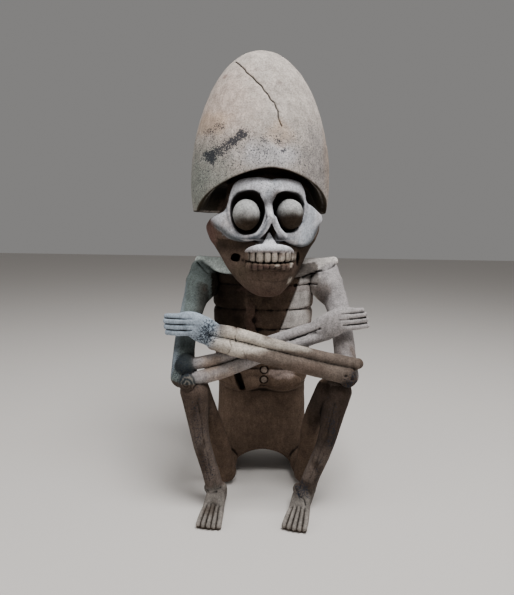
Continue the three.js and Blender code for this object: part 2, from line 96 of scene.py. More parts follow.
# Nose: paths and radii of its opening, and of bridge, wings and foot set on round it
NOSE_OPENING = ([(0, -92, 430), (0, -92, 415), (-1, -92, 401)], ((2, 12), (8, 12), (15, 11)))
NOSE = [
    ([(-4, -88, 464), (-4, -92, 451), (-3, -96, 441), (-1, -100.5, 433)],
     ((11, 6), (5.4, 6), (5, 6), (4.4, 5.5))),
    ([(-2, -100, 432), (-9.5, -97, 417), (-18.5, -91, 407)], (4.0, 4.2, 5.2)),
    ([(2, -100, 432), (9.5, -97, 417), (19, -91.5, 407)], (4.0, 4.2, 5.2)),
    ([(-2, -89, 411), (-2, -96, 396)], ((1.5, 3), (10, 6))),
]
# Hole through one side of the jaw: path, radii. Hollow in the other: middle, half sizes
JAW_HOLE = ([(-46, -100, 376), (-47, -45, 374)], ((6.2, 6.8), (6.6, 6.0)))
JAW_HOLLOW = ((46, -76, 373), (3.6, 15, 14))
# Dental arch, the lip over it and the gum behind the teeth
ARCH_HALF, ARCH_FRONT, ARCH_BACK, ARCH_SMILE = 37.0, -103.0, -76.0, 2.0
ARCH_SWEEP = math.radians(80)
LIP_Z, LIP_DROOP, LIP_INSET = 389.9, 5.6, 2.5
GUM_Z, GUM_INSET, GUM_RADII = 371.5, 8.5, (5.5, 14)
# Teeth: where the gaps between them lie across the arch, top, bottom, thickness, unevenness
UPPER_TEETH = ((-35.5, -30, -22, -10.5, -0.5, 9.5, 20.5, 30.5, 36.2), 386.0, 370.2, 6.2, 0.8)
LOWER_TEETH = ((-35, -27, -19, -11.5, -3, 5.5, 14, 22, 29.5, 36), 368.4, 359.5, 4.0, 2.2)

# Torso: height, half width, front, back
TORSO = np.array([
    (0, 66, 44, 112), (20, 74, 38, 122), (60, 77, 38, 126), (149, 75, 40, 128),
    (160, 76, 27, 130), (215, 79, 20, 132), (310, 83, 24, 131), (348, 84, 32, 124),
    (362, 72, 41, 112), (368, 50, 56, 96),
])
TORSO_X, TORSO_POWER, TORSO_HALF = -4.0, 2.6, 78.0
RIBS = np.array([160, 191, 223, 256, 287, 327.0])
RIB_GROOVE, RIB_GROOVE_HALF, RIB_SWELL, RIB_SAG = 3.2, 1.7, 1.8, 8.0
TUNNEL_X, TUNNEL_WIDE, TUNNEL_HIGH = -1.0, 52.0, 44.0
# Neck, slot in the belly and ridge down the breast: path, radii
NECK = ([(-13, 28, 405), (-4, 62, 350)], (40, 40))
BELLY_SLOT = ([(-44, 22, 177), (-40, 24, 163), (-35, 30, 148)], ((6.3, 24), (6.3, 24), (5.2, 22)))
BREAST_RIDGE = ([(-31, 23, 305), (-24, 20, 288), (-28, 19, 272), (-21, 19, 252)],
                ((4, 2), (8, 3), (6.5, 3.5), (8, 4)))
BELLY_SWELLS = [((34, 25, 170), (27, 6.5, 13)), ((-20, 24, 168), (14, 5.5, 12))]
SPINE_KNOB = (10, 8, 12)
# Ringed beads: place across, heights, where a dot's edge begins and ends, middle of its ring
BEAD_X, BEADS = -1.0, (189.0, 172.0)
BEAD_EDGE, BEAD_RING = (4.4, 5.6), 6.4

# Limbs of the figure's right side (-x) and left side (+x)
LIMBS = {
    "right": {
        "arm": [(-106, 64, 348), (-105, 47, 327), (-114, 26, 302), (-122, -28, 247),
                (-123, -52, 198)],
        "shin": [(-104, -58, 180), (-94, -62, 105), (-78, -60, 45), (-72, -58, 14)],
        "thigh": [(-102, -54, 178), (-83, -26, 122), (-68, 0, 60), (-62, 10, 18)],
        "seat": (-61, 84, 26),
        "heel": (-68, -36, 0),
        "toes": (-78, -126, 0),
        "clavicle": [(-22, 36, 346), (-68, 48, 356), (-112, 62, 365)],
    },
    "left": {
        "arm": [(101, 64, 348), (100, 47, 327), (112, 26, 303), (117, -28, 252), (120, -54, 204)],
        "shin": [(106, -58, 184), (91, -62, 104), (71, -60, 48), (61, -58, 14)],
        "thigh": [(94, -54, 182), (77, -26, 130), (72, 0, 70), (69, 10, 18)],
        "seat": (61, 84, 26),
        "heel": (66, -38, 0),
        "toes": (41, -128, 0),
        "clavicle": [(22, 36, 346), (68, 48, 356), (113, 62, 366)],
    },
}
ARM_RADII = (20, 27, 19, 15.5, 17)
SHIN_RADII = (21, 12.8, 12.2, 14)
THIGH_RADII = (20, 15, 15.5, 18)
CLAVICLE_RADII = ((16, 8), (16, 8), (8, 6))
SEAT_HALF, SEAT_RADII = (19, 38, 27), (17, 22)
# Knobs of an ankle, outer and inner: place from the shin's foot, half sizes
ANKLE_KNOBS = [((11, -1, 14), (7, 8, 9)), ((-10, -3, 15), (6.5, 8, 8))]
# Forearms: path, radius, and how the radius runs along every one of them
FOREARMS = {
    "front_upper": ([(128, -66, 226), (84, -74, 237), (27, -77, 251), (-45, -68, 269),
                     (-82, -60, 272)], 8.8),
    "front_lower": ([(118, -74, 210), (84, -78, 219), (27, -81, 233), (-45, -69, 248),
                     (-76, -60, 255)], 12.0),
    "rear_upper": ([(-110, -56, 219), (-66, -54, 229), (0, -50, 252), (58, -46, 271),
                    (84, -44, 279)], 8.6),
    "rear_lower": ([(-110, -64, 197), (-61, -60, 211), (5, -54, 237), (71, -46, 260),
                    (90, -44, 266)], 10.0),
}
FOREARM_SWELL = (1.05, 1, 0.96, 1, 1.03)
# Elbow knobs: middle, radius. The first carries a coil
ELBOWS = [((-112, -68, 195), 13.0), ((-117, -53, 217), 17.0), ((118, -74, 207), 13.0),
          ((133, -63, 226), 8.0)]
# Hands: wrist, knuckles, middle of the finger tips, and how much longer the upper fingers are
HANDS = {
    "left": ([(-74, -57, 262), (-108, -62, 280.5), (-151, -49, 278)], 0.0),
    "right": ([(78, -46, 271), (110, -52, 289.5), (150, -40, 291)], -5.0),
}
FINGERS, FINGER_SPREAD = 4, 16.8
PALM_RADII = ((17, 9), (19.5, 10), (17.6, 8.4), (15.5, 5.5))
FINGER_RADII = ((4.3, 7.2), (4.4, 6.4), (4.0, 4.6))
# Feet: shares of the length, with the wedge's half width and half thickness there
FOOT_STOPS = (0, 0.1, 0.36, 0.54, 0.74, 0.94, 1)
FOOT_HALF = (8, 13, 14, 15.5, 17.0, 17.6, 16.5)
FOOT_THICK = (8, 14.5, 16.5, 9.6, 4.9, 2.4, 1.6)
TOES, TOE_RADII = 5, ((2.9, 2.6), (3.5, 4.6), (3.6, 4.9))


# Curves and skins

def ease(x, xs, ys):
    """Smooth curve through the points: cubic pieces whose slopes are the harmonic mean of the
    chords on either side, so it never overshoots."""
    xs, ys = np.asarray(xs, float), np.asarray(ys, float)
    chord = np.diff(ys) / np.diff(xs)
    slope = np.empty_like(ys)
    product = chord[:-1] * chord[1:]
    total = chord[:-1] + chord[1:]
    slope[1:-1] = np.where(product > 0, 2 * product / np.where(total == 0, 1, total), 0)
    slope[0], slope[-1] = chord[0], chord[-1]
    i = np.clip(np.searchsorted(xs, x) - 1, 0, len(chord) - 1)
    run = xs[i + 1] - xs[i]
    t = np.clip((x - xs[i]) / run, 0, 1)
    rise = 3 * t**2 - 2 * t**3
    start = (t**3 - 2 * t**2 + t) * run * slope[i]
    end = (t**3 - t**2) * run * slope[i + 1]
    return ys[i] * (1 - rise) + ys[i + 1] * rise + start + end


def step(x, low, high):
    """0 below low, 1 above high, and an S-curve between."""
    t = np.clip((x - low) / (high - low), 0, 1)
    return t * t * (3 - 2 * t)


def bell(off, half):
    """1 at no distance, falling as a bell curve to 1/e at the half width."""
    return np.exp(-((off / half) ** 2))


def within(values, low, high):
    """Whether each value lies between two limits."""
    return (values > low) & (values < high)


def spline(points, count):
    """Centripetal Catmull-Rom curve through the points, the same number of samples per span."""
    p = np.asarray(points, float)
    p = np.vstack([2 * p[0] - p[1], p, 2 * p[-1] - p[-2]])
    place = np.linspace(0, len(p) - 3, count)
    i = np.minimum(place.astype(int), len(p) - 4)
    t = (place - i)[:, None]
    gap = np.sqrt(np.linalg.norm(np.diff(p, axis=0), axis=1))[:, None]
    a, b, c, d = p[i], p[i + 1], p[i + 2], p[i + 3]
    before, here, after = gap[i], gap[i + 1], gap[i + 2]
    out = ((b - a) / before - (c - a) / (before + here) + (c - b) / here) * here
    into = ((c - b) / here - (d - b) / (here + after) + (d - c) / after) * here
    rise = 3 * t**2 - 2 * t**3
    return b * (1 - rise) + c * rise + (t**3 - 2 * t**2 + t) * out + (t**3 - t**2) * into


def oval(angle, wide, deep, power):
    """Rounded oval at an angle from the front (-y) towards +x; a higher power is squarer."""
    s, c = np.sin(angle), -np.cos(angle)
    x = wide * np.sign(s) * np.abs(s) ** (2 / power)
    y = deep * np.sign(c) * np.abs(c) ** (2 / power)
    return x, y


def around(count):
    """Even angles once round, as one row."""
    return np.linspace(0, 2 * np.pi, count, endpoint=False)[None]


def skin(rings):
    """Closed skin over rows of points: two triangles in each cell, and a fan to the middle of
    the first row and of the last. Rows run anticlockwise about the way the stack goes."""
    rows, count, _ = rings.shape
    points = np.vstack([rings.reshape(-1, 3), rings[0].mean(0), rings[-1].mean(0)])
    i, j = np.divmod(np.arange((rows - 1) * count), count)
    k = (j + 1) % count
    a, b, c, d = i * count + j, i * count + k, (i + 1) * count + k, (i + 1) * count + j
    j, k = np.arange(count), (np.arange(count) + 1) % count
    low = np.stack([np.full(count, rows * count), k, j], -1)
    top = (rows - 1) * count
    high = np.stack([top + j, top + k, np.full(count, rows * count + 1)], -1)
    cells = [np.stack([a, b, c], -1), np.stack([a, c, d], -1)]
    return points, np.vstack([*cells, low, high])


def bone(path, radii, facing=(1, 0, 0), power=2.0, sides=44, pace=1.6, tip=0.9):
    """An oval carried along a curve through the path's points. Radii run smoothly from point to
    point, each a number or a pair (across, towards the facing side). The ends close as half
    domes whose height is tip times the smaller radius."""
    length = np.linalg.norm(np.diff(np.asarray(path, float), axis=0), axis=1).sum()
    count = max(8, int(length / pace))
    line = spline(path, count)
    pairs = np.array([r if np.ndim(r) else (r, r) for r in radii], float)
    share = np.linspace(0, 1, count)
    stops = np.linspace(0, 1, len(pairs))
    wide, tall = ease(share, stops, pairs[:, 0]), ease(share, stops, pairs[:, 1])
    along = np.gradient(line, axis=0)
    along /= np.linalg.norm(along, axis=1)[:, None]
    domes = 9
    turn = np.linspace(0.08, 0.5, domes) * np.pi
    close, reach = np.sin(turn), np.cos(turn) * tip
    first, last = min(wide[0], tall[0]), min(wide[-1], tall[-1])
    line = np.vstack([line[0] - along[0] * first * reach[:, None], line,
                      line[-1] + along[-1] * last * reach[::-1, None]])
    along = np.vstack([np.repeat(along[:1], domes, 0), along, np.repeat(along[-1:], domes, 0)])
    wide = np.concatenate([wide[0] * close, wide, wide[-1] * close[::-1]])
    tall = np.concatenate([tall[0] * close, tall, tall[-1] * close[::-1]])
    across = np.cross(along, facing)
    across /= np.linalg.norm(across, axis=1)[:, None]
    over = np.cross(along, across)
    a, b = oval(around(sides), wide[:, None], tall[:, None], power)
    return skin(line[:, None] + across[:, None] * a[..., None] + over[:, None] * b[..., None])


def ball(centre, half, power=2.0, rows=28, sides=48):
    """Rounded block: an oval section scaled up and down its height by the same oval rule."""
    rise = np.linspace(-0.47, 0.47, rows)[:, None] * np.pi
    s, c = np.sin(rise), np.cos(rise)
    height = np.sign(s) * np.abs(s) ** (2 / power)
    x, y = oval(around(sides), half[0], half[1], power)
    breadth = c ** (2 / power)
    rings = np.stack([x * breadth, y * breadth, half[2] * height + 0 * x], -1)
    return skin(rings + np.asarray(centre, float))


def head_place(points, shift=FACE_X):
    """From the face's own frame: shifted off the axis, turned about it, and set on the body."""
    c, s = math.cos(HEAD_TURN), math.sin(HEAD_TURN)
    x, y = points[..., 0] + shift, points[..., 1]
    return np.stack([c * x - s * y, s * x + c * y, points[..., 2]], -1) + HEAD_AXIS


def head_local(points):
    """The way back, into the face's own frame."""
    c, s = math.cos(HEAD_TURN), math.sin(HEAD_TURN)
    x, y, z = (points - HEAD_AXIS).T
    return np.stack([c * x + s * y - FACE_X, -s * x + c * y, z], -1)


# Meshes

def make(name, shells):
    """One mesh object from skins, with arrays written straight into the mesh."""
    starts = np.cumsum([0] + [len(points) for points, _ in shells])
    points = np.vstack([points for points, _ in shells]).astype(np.float32)
    faces = np.vstack([faces + start for (_, faces), start in zip(shells, starts)])
    mesh = bpy.data.meshes.new(name)
    mesh.vertices.add(len(points))
    mesh.vertices.foreach_set("co", points.ravel())
    mesh.loops.add(faces.size)
    mesh.loops.foreach_set("vertex_index", faces.astype(np.int32).ravel())
    mesh.polygons.add(len(faces))
    mesh.polygons.foreach_set("loop_start", np.arange(0, faces.size, 3, dtype=np.int32))
    mesh.update(calc_edges=True)
    obj = bpy.data.objects.new(name, mesh)
    bpy.context.scene.collection.objects.link(obj)
    return obj


def discard(obj):
    """Takes an object and its mesh out of the file."""
    mesh = obj.data
    bpy.data.objects.remove(obj)
    bpy.data.meshes.remove(mesh)


def settle(obj, kind, **settings):
    """Adds one modifier and makes its result the mesh."""
    modifier = obj.modifiers.new(kind.lower(), kind)
    for key, value in settings.items():
        setattr(modifier, key, value)
    graph = bpy.context.evaluated_depsgraph_get()
    result = bpy.data.meshes.new_from_object(obj.evaluated_get(graph))
    obj.modifiers.clear()
    old, obj.data = obj.data, result
    bpy.data.meshes.remove(old)


def carved(name, shells, cutters):
    """Skins run together into one by a fine voxel grid, with the cutters taken out of it."""
    obj = make(name, shells)
    settle(obj, "REMESH", mode="VOXEL", voxel_size=VOXEL)
    for shell in cutters:
        tool = make("cutter", [shell])
        settle(obj, "BOOLEAN", operation="DIFFERENCE", solver="MANIFOLD", object=tool)
        discard(tool)
    result = read_points(obj.data), read_triangles(obj.data)
    discard(obj)
    return result


def read_points(mesh):
    """The mesh's points as rows of x, y, z."""
    points = np.empty(len(mesh.vertices) * 3, np.float32)
    mesh.vertices.foreach_get("co", points)
    return points.reshape(-1, 3).astype(float)


def read_triangles(mesh):
    """The mesh's faces cut into triangles, as rows of three point numbers."""
    mesh.calc_loop_triangles()
    faces = np.empty(len(mesh.loop_triangles) * 3, np.int32)
    mesh.loop_triangles.foreach_get("vertices", faces)
    return faces.reshape(-1, 3)


def read_edges(mesh):
    """The mesh's edges as rows of two point numbers."""
    edges = np.empty(len(mesh.edges) * 2, np.int32)
    mesh.edges.foreach_get("vertices", edges)
    return edges.reshape(-1, 2)


def neighbours_mean(values, edges):
    """Mean over each point's neighbours, by summing along the edges both ways."""
    count = len(values)
    ends = np.concatenate([edges[:, 0], edges[:, 1]])
    others = np.concatenate([edges[:, 1], edges[:, 0]])
    degree = np.maximum(np.bincount(ends, minlength=count), 1)
    flat = values.reshape(count, -1)
    sums = [np.bincount(ends, weights=column[others], minlength=count) for column in flat.T]
    return (np.stack(sums, -1) / degree[:, None]).reshape(values.shape)


def relax(values, edges, rounds, inward=0.6, outward=-0.61):
    """Smoothing that keeps the volume: towards the neighbours' mean, then a little more back."""
    for _ in range(rounds):
        for weight in (inward, outward):
            values = values + weight * (neighbours_mean(values, edges) - values)
    return values


def point_normals(points, faces):
    """Sum of the cross products of the triangles round each point, made unit length."""
    a, b, c = (points[faces[:, k]] for k in range(3))
    cross = np.cross(b - a, c - a)
    sums = [np.bincount(faces.ravel(), weights=np.repeat(axis, 3), minlength=len(points))
            for axis in cross.T]
    total = np.stack(sums, -1)
    return total / np.maximum(np.linalg.norm(total, axis=1), 1e-12)[:, None]


def grain(points, spacing, seed):
    """Lattice noise from -1 to 1: hashed numbers on a cubic lattice, eased between corners."""
    p = points / spacing + seed * 17.31
    cell = np.floor(p).astype(np.int64)
    t = p - cell
    t = t * t * (3 - 2 * t)
    total = np.zeros(len(points))
    for corner in range(8):
        offset = np.array([corner & 1, corner >> 1 & 1, corner >> 2 & 1])
        i, j, k = (cell + offset).T
        code = (i * 73856093) ^ (j * 19349663) ^ (k * 83492791) ^ (seed * 2654435)
        code = ((code ^ (code >> 13)) * 1274126177) & 0x7FFFFFFF
        value = ((code >> 8) & 0xFFFF) / 32767.5 - 1
        total += value * np.prod(np.where(offset, t, 1 - t), axis=1)
    return total


def cloud(points, spacing, seed, layers=3):
    """Noise at the spacing, at half of it and so on, each layer half as strong."""
    return sum(grain(points, spacing / 2**n, seed + n) / 2**n for n in range(layers)) / 1.2


def line_distance(points, path, radii=None):
    """Least distance from each point to the straight pieces of a path, less the path's radius
    there where radii are given."""
    best = np.full(len(points), 1e9)
    path = np.asarray(path, float)
    sizes = np.zeros(len(path)) if radii is None else np.asarray(radii, float)
    for a, b, r, q in zip(path[:-1], path[1:], sizes[:-1], sizes[1:]):
        along = b - a
        t = np.clip((points - a) @ along / (along @ along), 0, 1)
        gap = np.linalg.norm(points - a - t[:, None] * along, axis=1)
        best = np.minimum(best, gap - r - (q - r) * t)
    return best


# Head

def rim_height(angle):
    """The rim's arch: highest over the face, falling by a power of the angle to the sides."""
    turned = np.abs((angle - RIM_TURN + np.pi) % (2 * np.pi) - np.pi)
    share = np.minimum(1, turned / RIM_HALF_ANGLE)
    return RIM_FRONT - (RIM_FRONT - RIM_SIDE) * share**RIM_POWER


def cap_share(z):
    """Width at a height as a share of the widest: a half ellipse above, a slight taper below."""
    up = np.clip((z - CAP_WIDEST) / (CAP_APEX - CAP_WIDEST), 0, 1)
    down = np.clip((CAP_WIDEST - z) / (CAP_WIDEST - RIM_SIDE), 0, 1.2)
    dome = np.sqrt(np.maximum(0, 1 - up**2))
    return np.where(z < CAP_WIDEST, 1 - (1 - WALL_TAPER) * down**2, dome)


def cap():
    """Rows of ovals that start inside the brim, turn over its rounded edge on the rim's own
    curve, and level out towards the apex."""
    angle = around(320)
    rim = rim_height(angle)
    rows = [(inset, rise, 0.0) for inset, rise in BRIM]
    edge = BRIM[-1][1]
    rows += [(0, edge * (1 - s), s) for s in 1 - (1 - np.linspace(0, 1, 150)[1:-1]) ** 1.6]
    inset, rise, share = np.array(rows).T[..., None]
    z = rim + (CAP_APEX - rim) * share
    wide = cap_share(z) - inset / CAP_WIDE
    x, y = oval(angle, CAP_WIDE * wide, CAP_DEEP * wide, CAP_POWER)
    points, faces = skin(np.stack([x, y, z + rise], -1))
    return head_place(points, 0.0), faces


def skull():
    """Plan ovals stacked up the head, their sizes running smoothly between the sections."""
    z = np.linspace(SKULL[0, 0], SKULL[-1, 0], 190)[:, None]
    turn = around(200)
    wide, front, middle, power = (ease(z, SKULL[:, 0], SKULL[:, k]) for k in range(1, 5))
    x, y = oval(turn - 0.45 * np.sin(turn), wide, 1.0, power)
    reach = np.where(y < 0, middle - front, FACE_BACK - middle)
    return skin(np.stack([x, middle + y * reach, z + 0 * x], -1))


def mask_radius(angle):
    """The mask's outline as a distance from its middle at an angle up from +x."""
    x, z = (MASK - MASK_CENTRE).T
    turns = np.arctan2(z, x) % (2 * np.pi)
    order = np.argsort(turns)
    return np.interp(angle % (2 * np.pi), turns[order], np.hypot(x, z)[order], period=2 * np.pi)


def mask_front(x, z):
    """The mask's face: bowed back to either side and rolled back over the top of the brow."""
    return MASK_FRONT + MASK_CURVE * x**2 + 5.0 * step(z, 470, 490) ** 2


def mask():
    """Polar grid from the middle of the face to its outline, round the edge and back behind."""
    angle = -around(240)
    reach = mask_radius(angle)
    share = np.concatenate([np.linspace(0.02, 0.86, 40), np.linspace(0.88, 1, 14)])[:, None]
    front = share * reach
    inside = np.clip((reach - front) / MASK_EDGE, 0, 1)
    roll = MASK_EDGE * (1 - np.sqrt(np.maximum(0, 1 - (1 - inside) ** 2)))
    rear = np.array([0.995, 0.97, 0.9, 0.7])[:, None] * reach
    sunk = np.array([10, 14, MASK_THICK, MASK_THICK])[:, None] + 0 * reach
    radius, back = np.vstack([front, rear]), np.vstack([roll, sunk])
    x = MASK_CENTRE[0] + radius * np.cos(angle)
    z = MASK_CENTRE[1] + radius * np.sin(angle)
    return skin(np.stack([x, mask_front(x, z) + back, z], -1)[::-1])


def arch_point(share, z, inset=0.0):
    """A point on the dental arch: share from -1 to 1 sweeps an ellipse to ARCH_SWEEP either
    side of the front, and the ends ride up in a smile."""
    share = np.asarray(share, float)
    angle = share * ARCH_SWEEP
    x = (ARCH_HALF - inset) * np.sin(angle)
    y = ARCH_BACK - (ARCH_BACK - ARCH_FRONT - inset) * np.cos(angle)
    return np.stack([x, y, z + ARCH_SMILE * share**2 + 0 * x], -1)


def arch_share(x):
    """The share along the arch at a distance across it."""
    most = math.sin(ARCH_SWEEP)
    return np.arcsin(np.clip(np.asarray(x, float) / ARCH_HALF, -most, most)) / ARCH_SWEEP


def teeth(gaps, top, bottom, thick, uneven):
    """Rounded blocks set along the dental arch between the gaps, each turned to face outwards."""
    shells = []
    for i, (left, right) in enumerate(zip(gaps[:-1], gaps[1:])):
        wobble = math.sin(7.3 * i + top)
        low = bottom + uneven * wobble
        ends = arch_point(arch_share([left, right]), 0.0)
        middle = ends.mean(0)
        ahead = (ends[1] - ends[0])[:2]
        width = np.linalg.norm(ahead)
        ahead /= width
        half = (width * (0.475 + 0.015 * wobble), thick, (top - low) / 2)
        points, faces = ball((0, 0, 0), half, power=3.4, rows=18, sides=32)
        x, y, z = points.T
        y = y + thick - 2.6 - 0.6 * wobble
        spot = np.stack([x * ahead[0] - y * ahead[1], x * ahead[1] + y * ahead[0], z], -1)
        shells.append((spot + middle + (0, 0, (top + low) / 2), faces))
    return shells


def socket(place, half):
    """Rounded block that is broad at the brow and narrows in a straight line towards the cheek."""
    points, faces = ball(place, half, power=SOCKET_POWER)
    down = np.clip((place[2] + 0.45 * half[2] - points[:, 2]) / (1.45 * half[2]), 0, 1)
    points[:, 0] = place[0] + (points[:, 0] - place[0]) * (SOCKET_BROW - SOCKET_TAPER * down)
    return points, faces


def lip_half(share):
    """Half height of the lip at a share of the arch from -1 to 1."""
    return 1.0 + 5.8 * np.maximum(0, 1 - share**2) ** 0.9


def head():
    """Skull, mask and jaw run together; sockets, nose opening and jaw holes cut in; then the
    eyeballs, nose, lip, gum and teeth set on."""
    cutters = [socket(place, half) for place, half in SOCKETS]
    cutters.append(bone(*JAW_HOLE, facing=(0.2, 0, 1), power=2.9))
    cutters.append(ball(*JAW_HOLLOW))
    cutters.append(bone(*NOSE_OPENING, facing=BACKWARD, tip=0.3))
    shells = [carved("face", [skull(), mask()], cutters)]
    shells += [ball(place, half) for place, half in EYES]
    shells += [bone(path, radii, facing=BACKWARD) for path, radii in NOSE]
    share = np.linspace(-1, 1, 13)
    lip = arch_point(share, LIP_Z - (LIP_DROOP + ARCH_SMILE) * share**2, LIP_INSET)
    lip_radii = np.stack([2.6 + 3.6 * (1 - share**2), lip_half(share)], -1)
    shells.append(bone(lip, lip_radii, facing=UPWARD))
    gum = arch_point(np.linspace(-1, 1, 7), GUM_Z, GUM_INSET)
    shells.append(bone(gum, [GUM_RADII] * len(gum), facing=UPWARD))
    shells += teeth(*UPPER_TEETH) + teeth(*LOWER_TEETH)
    return [cap(), *((head_place(points), faces) for points, faces in shells)]


# Body

def torso_level(x, y, z):
    """Height with the lobes of the lowest rib edge taken up, so that the edge can hang there."""
    lobes = RIB_SAG * np.sin(np.pi * np.minimum(1, np.abs(x) / TORSO_HALF)) ** 2 * (y < 0)
    return z + lobes * bell(z - RIBS[0], 22)


def torso():
    """Plan ovals from the seat to the shoulders. Each rib band swells between two incised
    grooves, and at the front the lowest edge hangs in a lobe at either side of the middle."""
    z = np.linspace(0, TORSO[-1, 0], 380)[:, None]
    angle = around(300)
    level = torso_level(*oval(angle, TORSO_HALF, 1.0, TORSO_POWER), z)
    wide, front, back = (ease(level, TORSO[:, 0], TORSO[:, k]) for k in range(1, 4))
    off = np.abs(level[..., None] - RIBS).min(-1)
    ribbed = step(level, RIBS[0] - 2, RIBS[0] + 1)
    ribbed = ribbed * (1 - step(level, RIBS[-1] + 12, RIBS[-1] + 30))
    proud = ribbed * (RIB_SWELL * step(off, 0, 9) - RIB_GROOVE * bell(off, RIB_GROOVE_HALF))
    x, y = oval(angle, wide + proud, (back - front) / 2 + proud, TORSO_POWER)
    return skin(np.stack([TORSO_X + x, (front + back) / 2 + y, z + 0 * x], -1))


def tunnel():
    """An elliptical bar from front to back, that takes the arch out from under the body."""
    y = np.linspace(-90, 250, 3)[:, None]
    x, z = oval(-around(120), TUNNEL_WIDE, TUNNEL_HIGH, 2.0)
    return skin(np.stack([TUNNEL_X + x + 0 * y, y + 0 * x, z + 0 * y], -1))


def body():
    """Torso and seat run together, the arch and a slot cut out of them; then the neck, a knob
    of the spine behind each rib, the ridge down the breast and the swells of the belly."""
    shells = [torso()]
    for parts in LIMBS.values():
        shells.append(ball(parts["seat"], SEAT_HALF))
        shells.append(bone([parts["thigh"][-1], parts["seat"]], SEAT_RADII))
    slot = bone(*BELLY_SLOT, facing=BACKWARD, power=2.6)
    shells = [carved("body", shells, [tunnel(), slot]), bone(*NECK)]
    for z in (RIBS[1:] + RIBS[:-1]) / 2:
        y = float(ease(z, TORSO[:, 0], TORSO[:, 3]))
        shells.append(ball((TORSO_X, y - 1, z), SPINE_KNOB, power=2.3))
    shells.append(bone(*BREAST_RIDGE, facing=BACKWARD))
    return shells + [ball(place, half) for place, half in BELLY_SWELLS]


def hand_frame(path):
    """Knuckles and finger tips of a hand, with the ways along and across its fingers."""
    bend, tips = (np.asarray(p, float) for p in path[1:])
    along = (tips - bend) / np.linalg.norm(tips - bend)
    across = np.array([-along[2], 0, along[0]]) / math.hypot(along[0], along[2])
    return bend, tips, along, across if across[2] > 0 else -across


def hand(path, skew):
    """A flat paddle from the wrist past the knuckles, and squarish fingers lying side by side
    in the same plane, so that only narrow grooves part them. The uppermost rolls back a little
    over the arm."""
    bend, tips, along, across = hand_frame(path)
    root = np.asarray(path[0], float)
    palm = [root, (root + bend) / 2, bend, bend + along * 18]
    shells = [bone(palm, PALM_RADII, facing=(0, -1, 0), power=2.4)]
    for i in range(FINGERS):
        share = 1 - (2 * i + 1) / FINGERS
        rolled = across * -2.5 + np.array([0, 3.0, 0]) if i == 0 else np.zeros(3)
        start = bend + across * share * FINGER_SPREAD - along * 4 + rolled
        longer = skew * share - 4.5 - 2.0 * abs(share)
        end = tips + across * share * FINGER_SPREAD + along * longer + rolled
        middle = (start + end) / 2 + np.array([0, -2.2, 0])
        shells.append(bone([start, middle, end], FINGER_RADII, facing=BACKWARD, power=2.7,
                           sides=32, pace=1.0))
    return shells


def foot_frame(heel, toe_tips):
    """Heel and toe tips of a foot, its length, and the ways along and across it."""
    heel, tips = np.asarray(heel, float), np.asarray(toe_tips, float)
    length = np.linalg.norm(tips - heel)
    along = (tips - heel) / length
    return heel, tips, length, along, np.cross(UPWARD, along)


def foot(heel, toe_tips):
    """A wedge from heel to toes, and toes side by side that rise back into the instep."""
    heel, tips, length, along, across = foot_frame(heel, toe_tips)
    up = np.array(UPWARD, float)
    at = np.linspace(0.0, 0.95, 90)[:, None]
    half, thick = ease(at, FOOT_STOPS, FOOT_HALF), ease(at, FOOT_STOPS, FOOT_THICK)
    side, high = oval(-around(90), half, thick, 3.0)
    rings = heel + along * at[..., None] * length + across * side[..., None]
    shells = [skin(rings + up * (high + thick)[..., None])]
    for i in range(TOES):
        share = 1 - (2 * i + 1) / TOES
        start = heel + along * length * 0.56 + across * share * 14.5 + up * (15.5 - 2.5 * share**2)
        bend = heel + along * length * 0.77 + across * share * 17.4 + up * 9.4
        end = tips + across * share * 18.4 - along * (4.5 + 2.5 * share**2) + up * 5.2
        shells.append(bone([start, bend, end], TOE_RADII, facing=UPWARD, sides=30, pace=1.0))
    return shells


def limbs():
    """Arms, legs, collar bones, feet and ankles of both sides; then the crossed double
    forearms with their elbow knobs, and the hands."""
    shells = []
    for name, parts in LIMBS.items():
        side = -1 if name == "right" else 1
        shells.append(bone(parts["arm"], ARM_RADII))
        shells.append(bone(parts["shin"], SHIN_RADII, facing=BACKWARD, power=2.4))
        shells.append(bone(parts["thigh"], THIGH_RADII))
        shells.append(bone(parts["clavicle"], CLAVICLE_RADII, facing=(0, -0.6, 0.8)))
        shells += foot(parts["heel"], parts["toes"])
        ankle = np.asarray(parts["shin"][-1], float)
        shells += [ball(ankle + (side * x, y, z), half) for (x, y, z), half in ANKLE_KNOBS]
    for path, radius in FOREARMS.values():
        shells.append(bone(path, [radius * swell for swell in FOREARM_SWELL], facing=UPWARD))
    shells += [ball(place, (radius,) * 3) for place, radius in ELBOWS]
    for path, skew in HANDS.values():
        shells += hand(path, skew)
    return shells


